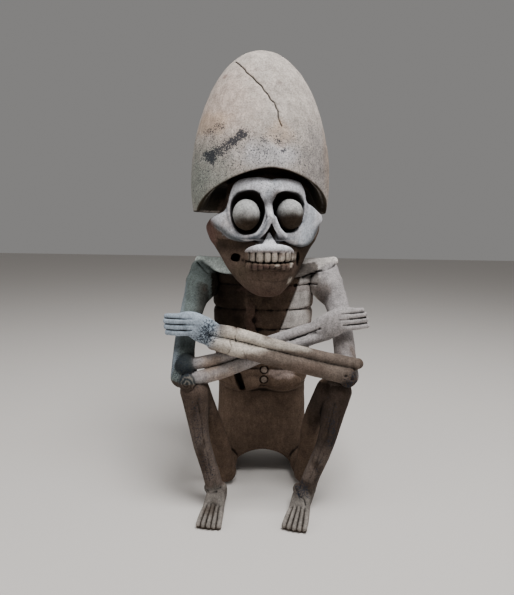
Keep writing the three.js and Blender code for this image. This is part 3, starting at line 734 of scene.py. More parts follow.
# Wear: lines seen from the front as x, z paths, with the depth range they lie in, half width
# and how deep they are pressed
CAP_CRACK = [
    (-51, 658), (-44, 649), (-36.5, 640), (-35, 636), (-25, 627), (-20, 620.5), (-12.5, 614),
    (-9, 607), (-3.5, 602), (0, 594.5), (5.5, 590), (8, 583), (10.5, 579), (11, 571), (12, 567),
    (16, 558),
]
FOREARM_FRONT, HAND_FRONT, FOOT_FRONT, SHIN_FRONT = (-95, -60), (-90, -38), (-105, -66), (-92, -60)
RIB_FRONT, COLLAR_FRONT = (5, 60), (20, 62)
CUTS = [
    (CAP_CRACK, (-70, 20), 0.9, 1.6),
    ([(-44, 279), (-42, 272), (-45, 265), (-43, 259)], FOREARM_FRONT, 0.9, 1.3),
    ([(-52, 259), (-49, 252), (-52, 246), (-56, 240)], FOREARM_FRONT, 0.9, 1.3),
    ([(-33, 247), (-30, 241), (-27, 233), (-29, 226)], FOREARM_FRONT, 0.9, 1.0),
    ([(59, 340), (84, 350), (112, 359)], COLLAR_FRONT, 1.4, 2.4),
    ([(-113, 361), (-103, 354), (-94, 346)], COLLAR_FRONT, 1.4, 2.4),
    ([(-12, 344), (6, 341), (22, 342), (38, 347)], (-80, -30), 1.3, 0.8),
    ([(44, 35), (50, 31), (53, 27), (59, 25), (61, 20)], FOOT_FRONT, 1.1, 1.8),
    ([(-90, 31), (-80, 28), (-70, 30)], FOOT_FRONT, 1.0, 1.0),
    ([(46, 326.5), (62, 328), (80, 330)], RIB_FRONT, 1.4, 2.6),
    ([(34, 288), (56, 289.5), (80, 292)], RIB_FRONT, 1.4, 2.6),
    ([(24, 257), (46, 259), (76, 263)], RIB_FRONT, 1.4, 2.6),
    ([(34, 257), (56, 265), (77, 274)], (-75, -35), 1.0, 1.6),
    ([(-97, 168), (-92, 140), (-90, 112), (-83, 84), (-79, 58)], SHIN_FRONT, 1.1, 1.1),
    ([(-107, 150), (-103, 120), (-97, 92)], SHIN_FRONT, 0.9, 0.7),
    ([(-90, 78), (-86, 62), (-80, 46)], SHIN_FRONT, 0.9, 0.8),
    ([(100, 170), (95, 146), (91, 120), (82, 96), (76, 72), (68, 52)], SHIN_FRONT, 1.1, 1.1),
    ([(108, 150), (104, 126), (97, 104)], SHIN_FRONT, 0.9, 0.8),
    ([(87, 92), (80, 76), (75, 60)], SHIN_FRONT, 0.9, 0.9),
    ([(93, 158), (89, 136), (83, 118)], SHIN_FRONT, 0.9, 0.8),
]
# Hole pricked at a wrist: x and z, half width, depth; and the depth range it lies in
WRIST_DOT, WRIST_FRONT = ((77.0, 274.4), 1.8, 3.0), (-75, -40)
# Slanting line on which the ribs' surface breaks off: lower and upper end, and how proud it is
RIB_EDGE, RIB_STEP = ((23.5, 255.0), (53.0, 334.0)), 2.6
# Dark lines on the mask, partly stains and partly painted shade: x, z paths in the face's own
# frame, half width, strength
FACE_STAINS_AND_SHADE = [
    ([(-61, 446), (-60, 434), (-54, 420), (-45, 409)], 1.6, 0.6),
    ([(-7, 428), (-10, 418), (-19, 407), (-30, 403)], 2.4, 0.8),
    ([(3, 447), (2, 438), (4, 430)], 2.2, 0.5),
    ([(56, 452), (54, 440), (50, 428)], 2.0, 0.5),
    ([(24, 405), (36, 402), (52, 400)], 2.0, 0.45),
]
# Rough crust on an elbow and an ankle: middle, half sizes
CRUSTS = [((124, -76, 209), (17, 20, 17)), ((59, -68, 36), (17, 20, 13))]
# Coil on an elbow: width of a turn. Pits on the other: x, z, and their depth and half width
COIL_TURN = 5.0
ELBOW_PITS, PIT_DEEP, PIT_HALF = ((112, 214), (121, 209), (116, 203), (126, 215)), 2.4, 2.6


def elbow_coil(x, z):
    """Wave of an uneven coil about the middle of the elbow's knob."""
    (middle_x, _, middle_z), _ = ELBOWS[0]
    across, up = x - middle_x, z - middle_z
    bent = 0.9 * np.sin(0.5 * across + 0.8 * up)
    turns = np.hypot(across + 1, up - 2) * 2 * np.pi / COIL_TURN
    return np.cos(turns + np.arctan2(up, across) + bent)


def hand_grooves():
    """Three grooves on each hand, from beside the knuckles to just short of the finger tips."""
    grooves = []
    for path, skew in HANDS.values():
        bend, tips, along, across = hand_frame(path)
        for share, back in ((0.5, 2), (0, 5), (-0.5, 0)):
            first = bend + across * share * FINGER_SPREAD - along * back
            last = tips + across * share * FINGER_SPREAD + along * (skew * share - 4)
            grooves.append(([first[[0, 2]], last[[0, 2]]], HAND_FRONT, 0.8, 1.7))
    return grooves


def rib_side(x, z):
    """Distance to the viewer's right of the slanting line where the ribs' surface breaks off."""
    (low_x, low_z), (high_x, high_z) = RIB_EDGE
    run, rise = high_x - low_x, high_z - low_z
    return ((x - low_x) * rise - (z - low_z) * run) / math.hypot(run, rise)


def work_surface(points, normals):
    """Lines pressed in along the normals, the ribs' broken edge beside the breast, ringed beads
    at the foot of the breastbone, a coil on one elbow, pits and crust, and the slow unevenness
    of clay smoothed by hand."""
    x, y, z = points.T
    inward, shaky = np.zeros(len(points)), cloud(points, 9, 63)
    for path, depths, half, deep in CUTS + hand_grooves():
        off = line_distance(points[:, [0, 2]], path) + 0.4 * shaky
        inward += deep * bell(off, half) * within(y, *depths)
    (dot_x, dot_z), dot_half, dot_deep = WRIST_DOT
    off = np.hypot(x - dot_x, z - dot_z)
    inward += dot_deep * bell(off, dot_half) * within(y, *WRIST_FRONT)
    # worn step round the upper cap
    inward += 0.4 * step(z + 6 * grain(points, 40, 5), 545, 553) * (z > 520)
    beside = rib_side(x, z)
    proud = RIB_STEP * step(beside, -1.2, 1.2) * (1 - step(x, 62, 82))
    proud = proud * step(z, 236, 242) * (1 - step(z, 332, 342))
    inward -= proud * within(y, 5, 48)
    for height in BEADS:
        off = np.hypot(x - BEAD_X, z - height)
        ring = 1.5 * (1 - step(off, *BEAD_EDGE)) - 1.6 * bell(off - BEAD_RING, 1.0)
        inward -= ring * within(y, 5, 40)
    (elbow_x, elbow_y, elbow_z), _ = ELBOWS[0]
    off = np.hypot(x - elbow_x, z - elbow_z)
    inward -= 0.7 * elbow_coil(x, z) * (1 - step(off, 9, 13)) * (y < elbow_y + 2)
    for pit_x, pit_z in ELBOW_PITS:
        off = np.hypot(x - pit_x, (z - pit_z) * 1.4)
        inward += PIT_DEEP * bell(off, PIT_HALF) * within(y, -98, -60)
    for middle, half in CRUSTS:
        reach = np.linalg.norm((points - middle) / half, axis=1)
        inward -= 1.3 * (1 - step(reach, 0.7, 1)) * cloud(points, 10, 47)
    rough = (beside < 0) & within(z, 235, 345) & within(y, 0, 60) & (np.abs(x) < 80)
    lumps = 0.6 * cloud(points, 45, 11) + 0.3 * cloud(points, 12, 23)
    lumps = lumps + 1.2 * rough * cloud(points, 16, 77)
    local = head_local(points)
    for middle, half in EYES:
        on_eye = np.linalg.norm((local - middle) / half, axis=1) < 1.12
        lumps += 0.4 * cloud(points, 7, 37) * on_eye
    return points - normals * (inward - lumps)[:, None]


figure = make("figure_clay", head() + body() + limbs())
settle(figure, "REMESH", mode="VOXEL", voxel_size=VOXEL)
mesh = figure.data
points, edges = read_points(mesh), read_edges(mesh)
points = relax(points, edges, 3)
points = work_surface(points, point_normals(points, read_triangles(mesh)))
points[:, 2] = np.maximum(points[:, 2], 0)
mesh.vertices.foreach_set("co", points.astype(np.float32).ravel())
mesh.update()
settle(figure, "DECIMATE", ratio=min(1.0, TRIANGLES / len(read_triangles(mesh))))
mesh = figure.data
points, faces, edges = read_points(mesh), read_triangles(mesh), read_edges(mesh)
normals = point_normals(points, faces)


# Colours

def linear(code):
    """An sRGB hex value as linear red, green and blue."""
    value = np.array([int(code[i:i + 2], 16) for i in (1, 3, 5)]) / 255
    return np.where(value <= 0.04045, value / 12.92, ((value + 0.055) / 1.055) ** 2.4)


BUFF = linear("#aaa199")
PALE = linear("#c3c3c8")
GREY = linear("#95908f")
RIB_GREY = linear("#b0aaa5")
# Figure's right upper arm: darker than the other, partly its own tone, partly painted shade
GREEN_GREY = linear("#5f6765")
# Figure's right collar bone: paler and cooler than the clay, painted light
LIT_SHOULDER = linear("#ccd6d1")
BLUE_GREY = linear("#909ba6")
BLUE_BLACK = linear("#1d232d")
CREAM = linear("#b9b0a4")
# The jaw, trunk and shin browns are darker than the clay: its brown and painted shade together
BROWN = linear("#54463d")
SHADED_SHIN = linear("#544a44")
FOREARM = linear("#61564e")
DARK = linear("#55463b")
UMBER = linear("#33281f")
RUST = linear("#56403a")
TAN = linear("#a98c70")
GREEN = linear("#7b8079")
FOOT = linear("#79736d")
# Eyeballs: grey at the top and a brown painted shade at the foot
EYE_TOP, EYE_SHADE = linear("#9b9b99"), linear("#30271f")
ELBOW, OLIVE, PINK = linear("#292d2e"), linear("#453d31"), linear("#85766f")
BEAD = linear("#766b62")
# Blue-grey of dark lines on the mask, partly stain and partly painted shade
STAIN_AND_SHADE = linear("#3d454d")
ROSE = linear("#b39d90")
TOOTH, LOW_TOOTH = linear("#9a9086"), linear("#544740")
PAPER, ROOM = linear("#d2cdc8"), linear("#dcdad8")

# Patches, laid in turn: colour, strength, middle, half sizes, softness of the edge, raggedness
TRUNK_PATCHES = [
    (RUST, 0.4, (-25, 20, 272), (11, 12, 26), 0.35, 0.6),
    (PINK, 0.75, (25, 22, 183), (21, 14, 7.5), 0.35, 0.5),
]
ARM_PATCHES = [
    (CREAM, 0.9, (-38, -74, 258), (38, 30, 20), 0.35, 0.3),
    (CREAM * 0.85, 0.7, (30, -84, 258), (44, 20, 9), 0.35, 0.3),
    (BROWN, 0.6, (45, -84, 224), (44, 26, 10), 0.35, 0.3),
    (UMBER, 0.75, (124, -82, 208), (17, 18, 17), 0.5, 0.8),
]
# Painted shade in an armpit
ARMPIT_SHADE = [(BROWN * 0.8, 0.6, (90, 30, 320), (11, 22, 22), 0.5, 0.7)]
# Painted shadow of a hand on the upper arm below it
HAND_SHADOW = [(ELBOW * 0.7, 0.8, (-118, -34, 246), (30, 18, 17), 0.5, 0.3)]
LEG_PATCHES = [
    (UMBER, 0.7, (92, -75, 130), (9, 12, 16), 0.6, 0.7),
    (UMBER, 0.7, (-92, -75, 70), (8, 12, 22), 0.6, 0.7),
    (UMBER, 0.7, (57, -74, 35), (15, 18, 9), 0.6, 0.7),
    (UMBER, 0.7, (-76, -100, 16), (11, 14, 8), 0.6, 0.7),
    (UMBER, 0.7, (-90, -72, 34), (6, 12, 8), 0.6, 0.7),
]
# in the face's own frame: the cheek's side, the brow with painted shade at its middle, and
# painted shade beside the lip
CHEEK_PATCHES = [(RUST, 0.8, (-84, -25, 408), (14, 40, 26), 0.35, 0.3)]
BROW_PATCHES = [
    (GREY * 0.2, 0.85, (-1, -96, 456), (10, 16, 10), 0.6, 0.5),
    (BROWN, 0.7, (9, -94, 464), (8, 12, 7), 0.5, 0.5),
]
LIP_SHADES = [
    (UMBER, 0.85, (-17, -93, 398), (5, 8, 3.2), 0.4, 0.5),
    (UMBER, 0.85, (15, -93, 400), (5, 8, 3.2), 0.4, 0.5),
]
# in the face's own frame: the jaw, chips on the lower teeth, and a chip on the chin
JAW_PATCHES = [(OLIVE, 0.45, (-38, -70, 356), (18, 40, 14), 0.6, 0.5)]
TOOTH_CHIPS = [
    (CREAM * 0.8, 0.8, (8, -100, 366), (3.4, 8, 1.8), 0.4, 0.5),
    (CREAM * 0.8, 0.8, (29, -92, 364), (3.4, 8, 1.8), 0.4, 0.5),
    (CREAM * 0.8, 0.8, (31, -90, 368), (3.4, 8, 1.8), 0.4, 0.5),
]
CHIN_CHIP = [(CREAM * 0.8, 0.9, (34, -78, 341), (4, 8, 5), 0.4, 0.5)]
BRIM_PATCHES = [(RUST, 0.5, (12, -62, 500), (8, 12, 12), 0.35, 0.3)]
# On the cap: a painted highlight at the front and painted shade on the figure's left side
CAP_PATCHES = [
    (BUFF * 1.15, 0.7, (-30, -40, 585), (46, 70, 45), 0.35, 0.3),
    (ROSE, 0.5, (-70, -30, 590), (46, 60, 50), 0.7, 0.3),
    (RUST, 0.7, (-66, -5, 634), (4, 14, 4), 0.6, 0.6),
    (RUST, 0.7, (54, -18, 620), (4, 14, 4), 0.6, 0.6),
    (RUST, 0.7, (13, -30, 621), (4, 14, 4), 0.6, 0.6),
    (RUST, 0.7, (60, -30, 570), (4, 14, 4), 0.6, 0.6),
    (PALE, 0.55, (2, -55, 519), (44, 30, 17), 0.6, 0.3),
    (TAN, 0.4, (-85, -20, 563), (36, 40, 18), 0.35, 0.3),
    (TAN * 0.8, 0.5, (98, 0, 530), (18, 40, 60), 0.35, 0.3),
    (GREEN, 0.85, (-112, -25, 480), (56, 70, 56), 0.7, 0.3),
    (GREY * 0.6, 0.6, (74, -30, 505), (30, 50, 70), 0.7, 0.3),
]
OVER_CRACK = [(TAN, 0.4, (18, -50, 548), (20, 26, 14), 0.6, 0.8)]

# Flecks: strength, middle, half sizes, softness of the edge, raggedness
ARM_FLECKS = [
    (0.62, (-85, -66, 269), (18, 20, 16), 0.5, 0.5),
    (0.42, (-126, -62, 212), (20, 26, 20), 0.5, 0.7),
    (0.5, (120, -84, 208), (15, 16, 13), 0.5, 0.6),
]
LEG_FLECKS = [
    (0.4, (97, -72, 125), (10, 16, 44), 0.6, 0.8), (0.36, (80, -72, 66), (10, 16, 26), 0.6, 0.8),
    (0.32, (-98, -70, 140), (12, 16, 36), 0.6, 0.8), (0.34, (-86, -70, 70), (9, 16, 30), 0.6, 0.8),
    (0.52, (56, -76, 36), (16, 18, 11), 0.6, 0.8),
]
BROW_FLECKS = [(0.24, (-2, -94, 474), (22, 20, 14), 0.6, 0.3)]
CAP_FLECKS = [
    (0.95, (-85, -34, 518), (10, 26, 9), 0.5, 0.6), (0.74, (-74, -40, 525), (11, 26, 8), 0.5, 0.6),
    (0.72, (-62, -47, 532), (11, 26, 8), 0.5, 0.6), (0.9, (-50, -52, 537), (10, 26, 6), 0.5, 0.6),
    (0.95, (-40, -52, 545), (9, 26, 6), 0.5, 0.6), (0.66, (-5, -55, 538), (9, 26, 3), 0.5, 0.6),
    (0.7, (9, -54, 536), (7, 26, 4), 0.5, 0.6), (0.66, (19, -52, 526), (6, 26, 4), 0.5, 0.6),
    (0.5, (-86, -25, 553), (9, 26, 6), 0.5, 0.6), (0.5, (-72, -35, 559), (8, 26, 5), 0.5, 0.6),
    (0.35, (-90, -20, 500), (24, 40, 40), 0.5, 0.6), (0.3, (60, -40, 515), (40, 30, 22), 0.5, 0.6),
    (0.32, (-40, -50, 520), (50, 30, 22), 0.5, 0.6), (0.3, (70, -30, 550), (24, 40, 30), 0.5, 0.6),
]


def dab(points, middle, half, edge=0.35, ragged=0.3, seed=3):
    """A soft-edged ellipsoidal patch whose border is broken up by noise."""
    reach = np.linalg.norm((points - middle) / half, axis=1) + ragged * cloud(points, 14, seed)
    return 1 - step(reach, 1 - edge, 1 + edge)


def lay(colours, colour, share):
    """Runs a colour into those stored, by a share from 0 to 1."""
    colours += (colour - colours) * np.clip(share, 0, 1)[:, None]


def lay_patches(colours, points, patches, where=1.0):
    """Lays soft patches in turn, each at its strength and only as far as the places allow."""
    for colour, strength, *shape in patches:
        lay(colours, colour, strength * where * dab(points, *shape))


def speckle(flecks, points, patches, seed, where=1.0):
    """Raises the share of flecks over soft patches to their strength."""
    for strength, *shape in patches:
        np.maximum(flecks, strength * where * dab(points, *shape, seed), out=flecks)


def wiped(points):
    """Noise drawn out upright, as a wiping hand leaves it."""
    return cloud(points * (1, 1, 0.3), 10, 91)


def zones(points, local):
    """The colour of the part that each point belongs to: the one whose surface is nearest."""
    x, y, z = points.T
    wide, front, back = (ease(z, TORSO[:, 0], TORSO[:, k]) for k in range(1, 4))
    out = np.abs((x - TORSO_X) / wide) ** TORSO_POWER
    out += np.abs((y - (front + back) / 2) / ((back - front) / 2)) ** TORSO_POWER
    off = np.abs(out ** (1 / TORSO_POWER) - 1) * 60 + np.maximum(0, z - 370)
    found = [(off, DARK)]
    for name, parts in LIMBS.items():
        # the figure's right arm is partly painted shade, its collar bone painted light
        arm, collar = (GREEN_GREY, LIT_SHOULDER) if name == "right" else (GREY, RIB_GREY)
        for key, radii, colour in (("arm", ARM_RADII, arm), ("shin", SHIN_RADII, SHADED_SHIN),
                                   ("thigh", THIGH_RADII, DARK), ("clavicle", (11, 11, 7), collar)):
            found.append((np.abs(line_distance(points, parts[key], radii)), colour))
        off = np.abs(line_distance(points, [parts["heel"], parts["toes"]], (16, 20)))
        found.append((off + (z > 34) * 9, FOOT))
        found.append((np.abs(np.linalg.norm(points - parts["seat"], axis=1) - 27), DARK))
    for name, (path, radius) in FOREARMS.items():
        off = np.abs(line_distance(points, path, [radius] * len(path)))
        found.append((off, GREY if "rear" in name else FOREARM))
    for place, radius in ELBOWS:
        off = np.abs(np.linalg.norm(points - place, axis=1) - radius)
        found.append((off, ELBOW if place[0] < 0 else BROWN * 0.7))
    for name, (path, _) in HANDS.items():
        off = np.abs(line_distance(points, path, (14, 14, 12))) - 5
        found.append((off, BLUE_GREY if name == "left" else GREY))
    lx, ly, _ = local.T
    jaw_wide = np.minimum(96, 50 + 0.85 * (z - 340))
    head = (z > 312) & (np.abs(lx) < jaw_wide) & ((ly < -8) | (z > 372)) | (z > 436)
    found.append((np.where(head, -6.0, 60.0), BROWN))
    nearest = np.argmin([distance for distance, _ in found], axis=0)
    return np.array([colour for _, colour in found])[nearest]


def mask_place(local):
    """Of points in the face's own frame: their share of the mask's plate, how far they lie
    outside its outline, and how far behind its front."""
    lx, ly, lz = local.T
    across, up = lx - MASK_CENTRE[0], lz - MASK_CENTRE[1]
    beyond = np.hypot(across, up) - mask_radius(np.arctan2(up, across))
    behind = ly - mask_front(lx, lz)
    plate = (1 - step(beyond, -1, 2)) * (1 - step(behind, 7, 12)) * (ly < -20) * (lz > 380)
    return plate, beyond, behind


def paint_trunk(colours, points, normals):
    """Mid-brown back, lighter than the front; ribs pale on one side of their broken edge and, on
    the other, the dark painted shadow of the head, deepest towards the figure's right; beads
    with dirt in their rings."""
    x, y, z = points.T
    trunk = within(y, 0, 70) & (np.abs(x - TORSO_X) < 84) & within(z, 150, 345)
    pale_side = step(rib_side(x, z), -1.5, 1.5)
    # back-facing places take a lighter mid-brown; the front keeps its painted shade
    back = step(normals[:, 1], 0.0, 0.6) * (y > 20) * (z < 372)
    lay(colours, FOREARM * 1.25, back * (0.5 + 0.5 * cloud(points, 40, 83)))
    forward = 1 - step(y + 22 * cloud(points, 24, 87), 30, 80)
    flank = (y > 0) & (np.abs(x - TORSO_X) < 90) & (z < 345)
    lay(colours, RIB_GREY, flank * forward * pale_side * step(z, 215, 235))
    # painted shadow of the head on the chest, deepest towards the figure's right
    head_shadow = trunk * (1 - pale_side) * step(z, 205, 225)
    lay(colours, UMBER, 0.5 * head_shadow * (0.7 + 0.9 * cloud(points, 18, 61)))
    lay(colours, UMBER * 0.45, 0.9 * head_shadow * step(-x, 26, 46))
    lay_patches(colours, points, TRUNK_PATCHES)
    for height in BEADS:
        off = np.hypot(x - BEAD_X, z - height)
        dot = trunk * (1 - step(off, *BEAD_EDGE))
        lay(colours, BEAD, dot * (0.75 + 0.5 * cloud(points, 4, 41)))
        lay(colours, UMBER * 0.5, trunk * bell(off - BEAD_RING, 0.9))


def paint_arms(colours, points):
    """Cream and brown patches on the forearms, tan behind, pale turns on the coiled elbow, and
    the upper arms worn in upright streaks; a blue-grey painted highlight outside the figure's
    right upper arm, painted shade inside it and the hand's painted shadow below; painted shade
    in the other armpit."""
    x, y, z = points.T
    lay_patches(colours, points, ARM_PATCHES)
    rear = dab(points, (-72, -58, 214), (52, 16, 24), 0.6) * (x > -100)
    lay(colours, FOREARM * 1.5, 0.55 * rear)
    lay(colours, TAN * 0.7, 0.35 * rear * step(cloud(points, 20, 93), 0.0, 0.4))
    knob = dab(points, ELBOWS[0][0], (15, 15, 15), 0.1, 0.0)
    turns = step(elbow_coil(x, z) + 0.6 * cloud(points, 6, 95), 0.3, 1.0)
    lay(colours, CREAM * 0.3, 0.7 * knob * turns)
    arm = within(z, 200, 330) & (x < -92) & (y > -60)
    # painted highlight outside the figure's right upper arm, painted shade inside it
    lay(colours, BLUE_GREY * 0.9, 0.7 * arm * step(-x, 124, 136))
    lay(colours, UMBER, 0.6 * arm * step(x, -116, -100))
    # painted shadow of the hand on the arm below it
    lay_patches(colours, points, HAND_SHADOW, where=arm)
    worn = dab(points, (120, -36, 236), (26, 26, 26), 0.6) * (y > -56)
    lay(colours, BROWN * 1.3, worn * (0.35 + 0.4 * step(wiped(points), 0.0, 0.4)))
    # painted shade in the figure's left armpit
    lay_patches(colours, points, ARMPIT_SHADE)


def paint_foot(colours, points, heel, toe_tips):
    """A darker instep, painted shade, dirt in the gaps between the toes, and a dark edge along the
    ground.
    """
    z = points[:, 2]
    heel, _, length, along, across = foot_frame(heel, toe_tips)
    ahead = (points - heel) @ along / length
    over = (points - heel) @ across
    place = (over / (14.0 + 4.6 * step(ahead, 0.5, 1)) + 1) * TOES / 2
    nearest = np.round(place)
    gap = np.where(within(nearest, 0, TOES), np.abs(place - nearest), TOES)
    # painted shade on the instep behind the toes
    instep = (z < 36) * step(ahead, 0.1, 0.25) * (np.abs(over) < 24)
    behind_toes = 1 - step(ahead + 0.1 * cloud(points, 12, 71), 0.5, 0.7)
    lay(colours, FOOT * 0.6, 0.7 * instep * behind_toes)
    lay(colours, UMBER * 0.7, (z < 30) * step(ahead, 0.5, 0.66) * (1 - step(gap, 0.06, 0.2)))
    lay(colours, UMBER, 0.8 * (z < 4.5) * step(ahead, 0.3, 0.5))


def paint_legs(colours, points, normals):
    """Shins darker upwards with painted shade under the arms, more on the figure's left shin;
    streaked by wiping; paler low down in front, painted light; feet with dirt and painted shade.
    """
    x, y, z = points.T
    shins = step(-y, 20, 50) * (within(z, 34, 196) & (np.abs(x) > 40))
    # painted shade on the shins, deeper upwards under the arms
    lay(colours, BROWN * 0.6, 0.85 * shins * step(z, 90, 170))
    # more painted shade on the figure's left shin
    lay(colours, BROWN * 0.3, 0.8 * shins * step(z, 70, 115) * (x > 0))
    streak = step(wiped(points), 0.05, 0.45) * np.where(x > 0, 0.75, 0.5)
    lay(colours, UMBER * 0.7, shins * streak)
    # painted light: paler front-facing places low on the shins
    low = (1 - step(z, 60, 100)) * step(normals[:, 1], -1.2, -0.5)
    lay(colours, SHADED_SHIN * 1.25, 0.5 * shins * low)
    for parts in LIMBS.values():
        paint_foot(colours, points, parts["heel"], parts["toes"])
    lay_patches(colours, points, LEG_PATCHES)


def paint_face(colours, flecks, points, local):
    """A pale mask with blue-grey and pink clouds and painted shade along its lower edge; sockets
    darkened inside by painted shade; eyeballs that fade from grey to a brown painted shade
    downwards; a brown nose opening; painted shade at the middle of the brow; dark lines, partly
    stains and partly painted shade; and painted shade beside the lip."""
    lx, _, lz = local.T
    plate, beyond, behind = mask_place(local)
    lay(colours, PALE, plate)
    lay(colours, BLUE_GREY, 0.5 * plate * step(cloud(points, 26, 51), 0.05, 0.6))
    lay(colours, PINK * 1.5, 0.35 * plate * step(cloud(points, 22, 57), 0.15, 0.7))
    # painted shade along the mask's lower edge, where it turns under
    lay(colours, ELBOW * 1.5, 0.85 * plate * step(beyond, -13, -2) * (1 - step(lz, 418, 436)))
    speckle(flecks, local, BROW_FLECKS, seed=3, where=plate)
    lay_patches(colours, local, CHEEK_PATCHES)
    # painted shade inside the sockets
    for place, half in SOCKETS:
        inside = dab(local, place, np.array(half) * 1.02, 0.04, 0.0)
        lay(colours, UMBER * 0.5, inside * step(behind, 2, 7))
    # painted shade over the lower eyeballs, higher on the eye on the figure's left
    level = lz - 0.1 * (lx + 34) + 4 * cloud(points, 12, 7)
    for place, half in EYES:
        inside = 1 - step(np.linalg.norm((local - place) / half, axis=1), 1.04, 1.1)
        rise = step(level, place[2] - 13, place[2] + 8)
        lay(colours, EYE_SHADE + (EYE_TOP - EYE_SHADE) * rise[:, None], inside)
    opening = dab(local, (1, -86, 416), (9, 10, 13), 0.2, 0.0) * step(behind, 2, 5)
    lay(colours, BROWN * 0.7, opening)
    # painted shade at the middle of the brow, and a brown patch
    lay_patches(colours, local, BROW_PATCHES, where=plate)
    # dark lines along bevels and grooves, partly stains and partly painted shade
    for path, half, strength in FACE_STAINS_AND_SHADE:
        off = line_distance(local[:, [0, 2]], path) + 0.8 * cloud(points, 8, 97)
        lay(colours, STAIN_AND_SHADE, strength * plate * bell(np.maximum(off, 0), half))
    # painted shade beside the lip, where it meets the foot of the nose
    lay_patches(colours, local, LIP_SHADES)


def paint_jaw(colours, points, local):
    """Brown clay, with painted shade to the viewer's right and under the cheek, mottled all over.
    """
    lx, ly, lz = local.T
    plate, _, _ = mask_place(local)
    jaw = within(lz, 318, 402) * (ly < -8) * (1 - plate) * (np.abs(lx) < 92)
    # painted shade low on the jaw, to the viewer's right
    lay(colours, UMBER * 0.8, 0.8 * jaw * step(lx, 36, 48) * step(lz, 330, 350))
    # painted shadow under the cheek on the figure's right
    cheek_shadow = step(lz, 374, 392) * step(-lx, 20, 36) * (lx > -74)
    lay(colours, UMBER * 0.7, 0.8 * jaw * cheek_shadow)
    lay_patches(colours, local, JAW_PATCHES, where=jaw)
    lay(colours, RUST, 0.35 * jaw * (1 - step(lz, 322, 336)))
    colours *= 1 + 0.3 * (jaw * cloud(points, 22, 99))[:, None]


def paint_mouth(colours, points, local):
    """Two rows of stained teeth with dirt in their gaps and the painted shadow of the lip along
    their tops, a dark line between the rows, and a pale lip in pink painted shade below and
    grey at its ends."""
    lx, ly, lz = local.T
    share = lx / ARCH_HALF
    level = lz - ARCH_SMILE * share**2
    mouth = (np.abs(lx) < 41) * (ly < -74)
    for (gaps, top, bottom, *_), tone in ((UPPER_TEETH, TOOTH), (LOWER_TEETH, LOW_TOOTH)):
        row = mouth * step(level, bottom - 1.5, bottom + 1) * (lz < top - 2) * step(lx, -33, -29)
        apart = np.abs(lx[:, None] - np.array(gaps)).min(1)
        lay(colours, tone, row)
        lay(colours, tone * 0.45, row * 0.8 * step(cloud(points, 5, 31), 0.05, 0.5))
        # painted shadow of the lip along the tops of the teeth
        lip_shadow = step(lz, top - 9, top - 3) * step(cloud(points, 8, 35), -0.2, 0.3)
        lay(colours, RUST * 0.6, row * 0.8 * lip_shadow)
        lay(colours, UMBER * 0.6, row * (1 - step(apart, 0.3, 1.3)))
    lay_patches(colours, local, TOOTH_CHIPS)
    off = np.abs(level - (UPPER_TEETH[2] + LOWER_TEETH[1]) / 2)
    lay(colours, UMBER * 0.4, mouth * (1 - step(off, 0.7, 1.8)))
    above = lz - (LIP_Z - LIP_DROOP * share**2 - lip_half(share))
    lip = mouth * step(above, 0.5, 2.5) * (lz < 402) * (ly < -82)
    lay(colours, PALE, lip)
    # painted shade in pink along the underside of the lip
    lay(colours, PINK, 0.8 * lip * (1 - step(above, 2, 6)))
    lay(colours, GREY, 0.6 * lip * step(np.abs(lx), 16, 32))
    lay_patches(colours, local, CHIN_CHIP)


def paint_cap(colours, flecks, points, local):
    """Painted shade under the brim; buff outside, with rose, tan, green and grey patches, among
    them a painted highlight at the front and painted shade on the figure's left side, the dark
    line of the crack, and flecks mostly in a band above the rim."""
    lx, ly, lz = local.T
    z = points[:, 2]
    plate, beyond, _ = mask_place(local)
    across, ahead = (lx + FACE_X) / CAP_WIDE, -ly / CAP_DEEP
    reach = np.hypot(across, ahead) / np.maximum(cap_share(z), 0.05)
    above = z - rim_height(np.arctan2(across, ahead))
    dome = z > 560
    hood = dome | ((z > 436) & (reach > 0.45))
    crown = hood * np.maximum(step(reach, 0.93, 0.955) * step(above, 1.2, 3.2), dome)
    # painted shade under the brim and inside the flaps, olive towards the edge
    brim_shade = hood * (1 - crown) * (1 - plate) * ((lz > 466) | (beyond > 4)) * (above > -4)
    lay(colours, UMBER, brim_shade)
    lay(colours, OLIVE * 0.5, brim_shade * step(reach, 0.72, 0.84))
    lay_patches(colours, points, BRIM_PATCHES, where=brim_shade)
    lay(colours, BUFF, crown)
    # cap patches, with a painted highlight and painted shade among them
    lay_patches(colours, points, CAP_PATCHES, where=crown)
    off = line_distance(points[:, [0, 2]], CAP_CRACK)
    lay(colours, UMBER * 0.6, crown * (points[:, 1] < 20) * bell(off, 1.0))
    lay_patches(colours, points, OVER_CRACK, where=crown)
    speckle(flecks, points, CAP_FLECKS, seed=9, where=crown)
    np.maximum(flecks, 0.27 * crown * (1 - step(z, 540, 580)), out=flecks)


def paint(points, normals, edges):
    """The colour of each part, partly the clay's own and partly painted shade, run into each
    other; then the slip, stains, dirt, and painted light and shade. Also how likely each place
    is to carry blue-black flecks."""
    local = head_local(points)
    colours, flecks = zones(points, local), np.zeros(len(points))
    for _ in range(5):
        colours = 0.4 * colours + 0.6 * neighbours_mean(colours, edges)
    paint_trunk(colours, points, normals)
    paint_arms(colours, points)
    paint_legs(colours, points, normals)
    paint_face(colours, flecks, points, local)
    paint_jaw(colours, points, local)
    paint_mouth(colours, points, local)
    paint_cap(colours, flecks, points, local)
    speckle(flecks, points, ARM_FLECKS, seed=3)
    speckle(flecks, points, LEG_FLECKS, seed=13)
    return colours, flecks


def store(name, values, kind="FLOAT", field="value"):
    """Keeps one value, or one colour, at each point of the mesh for the material to read."""
    layer = mesh.attributes.new(name, kind, "POINT")
    layer.data.foreach_set(field, values.astype(np.float32).ravel())


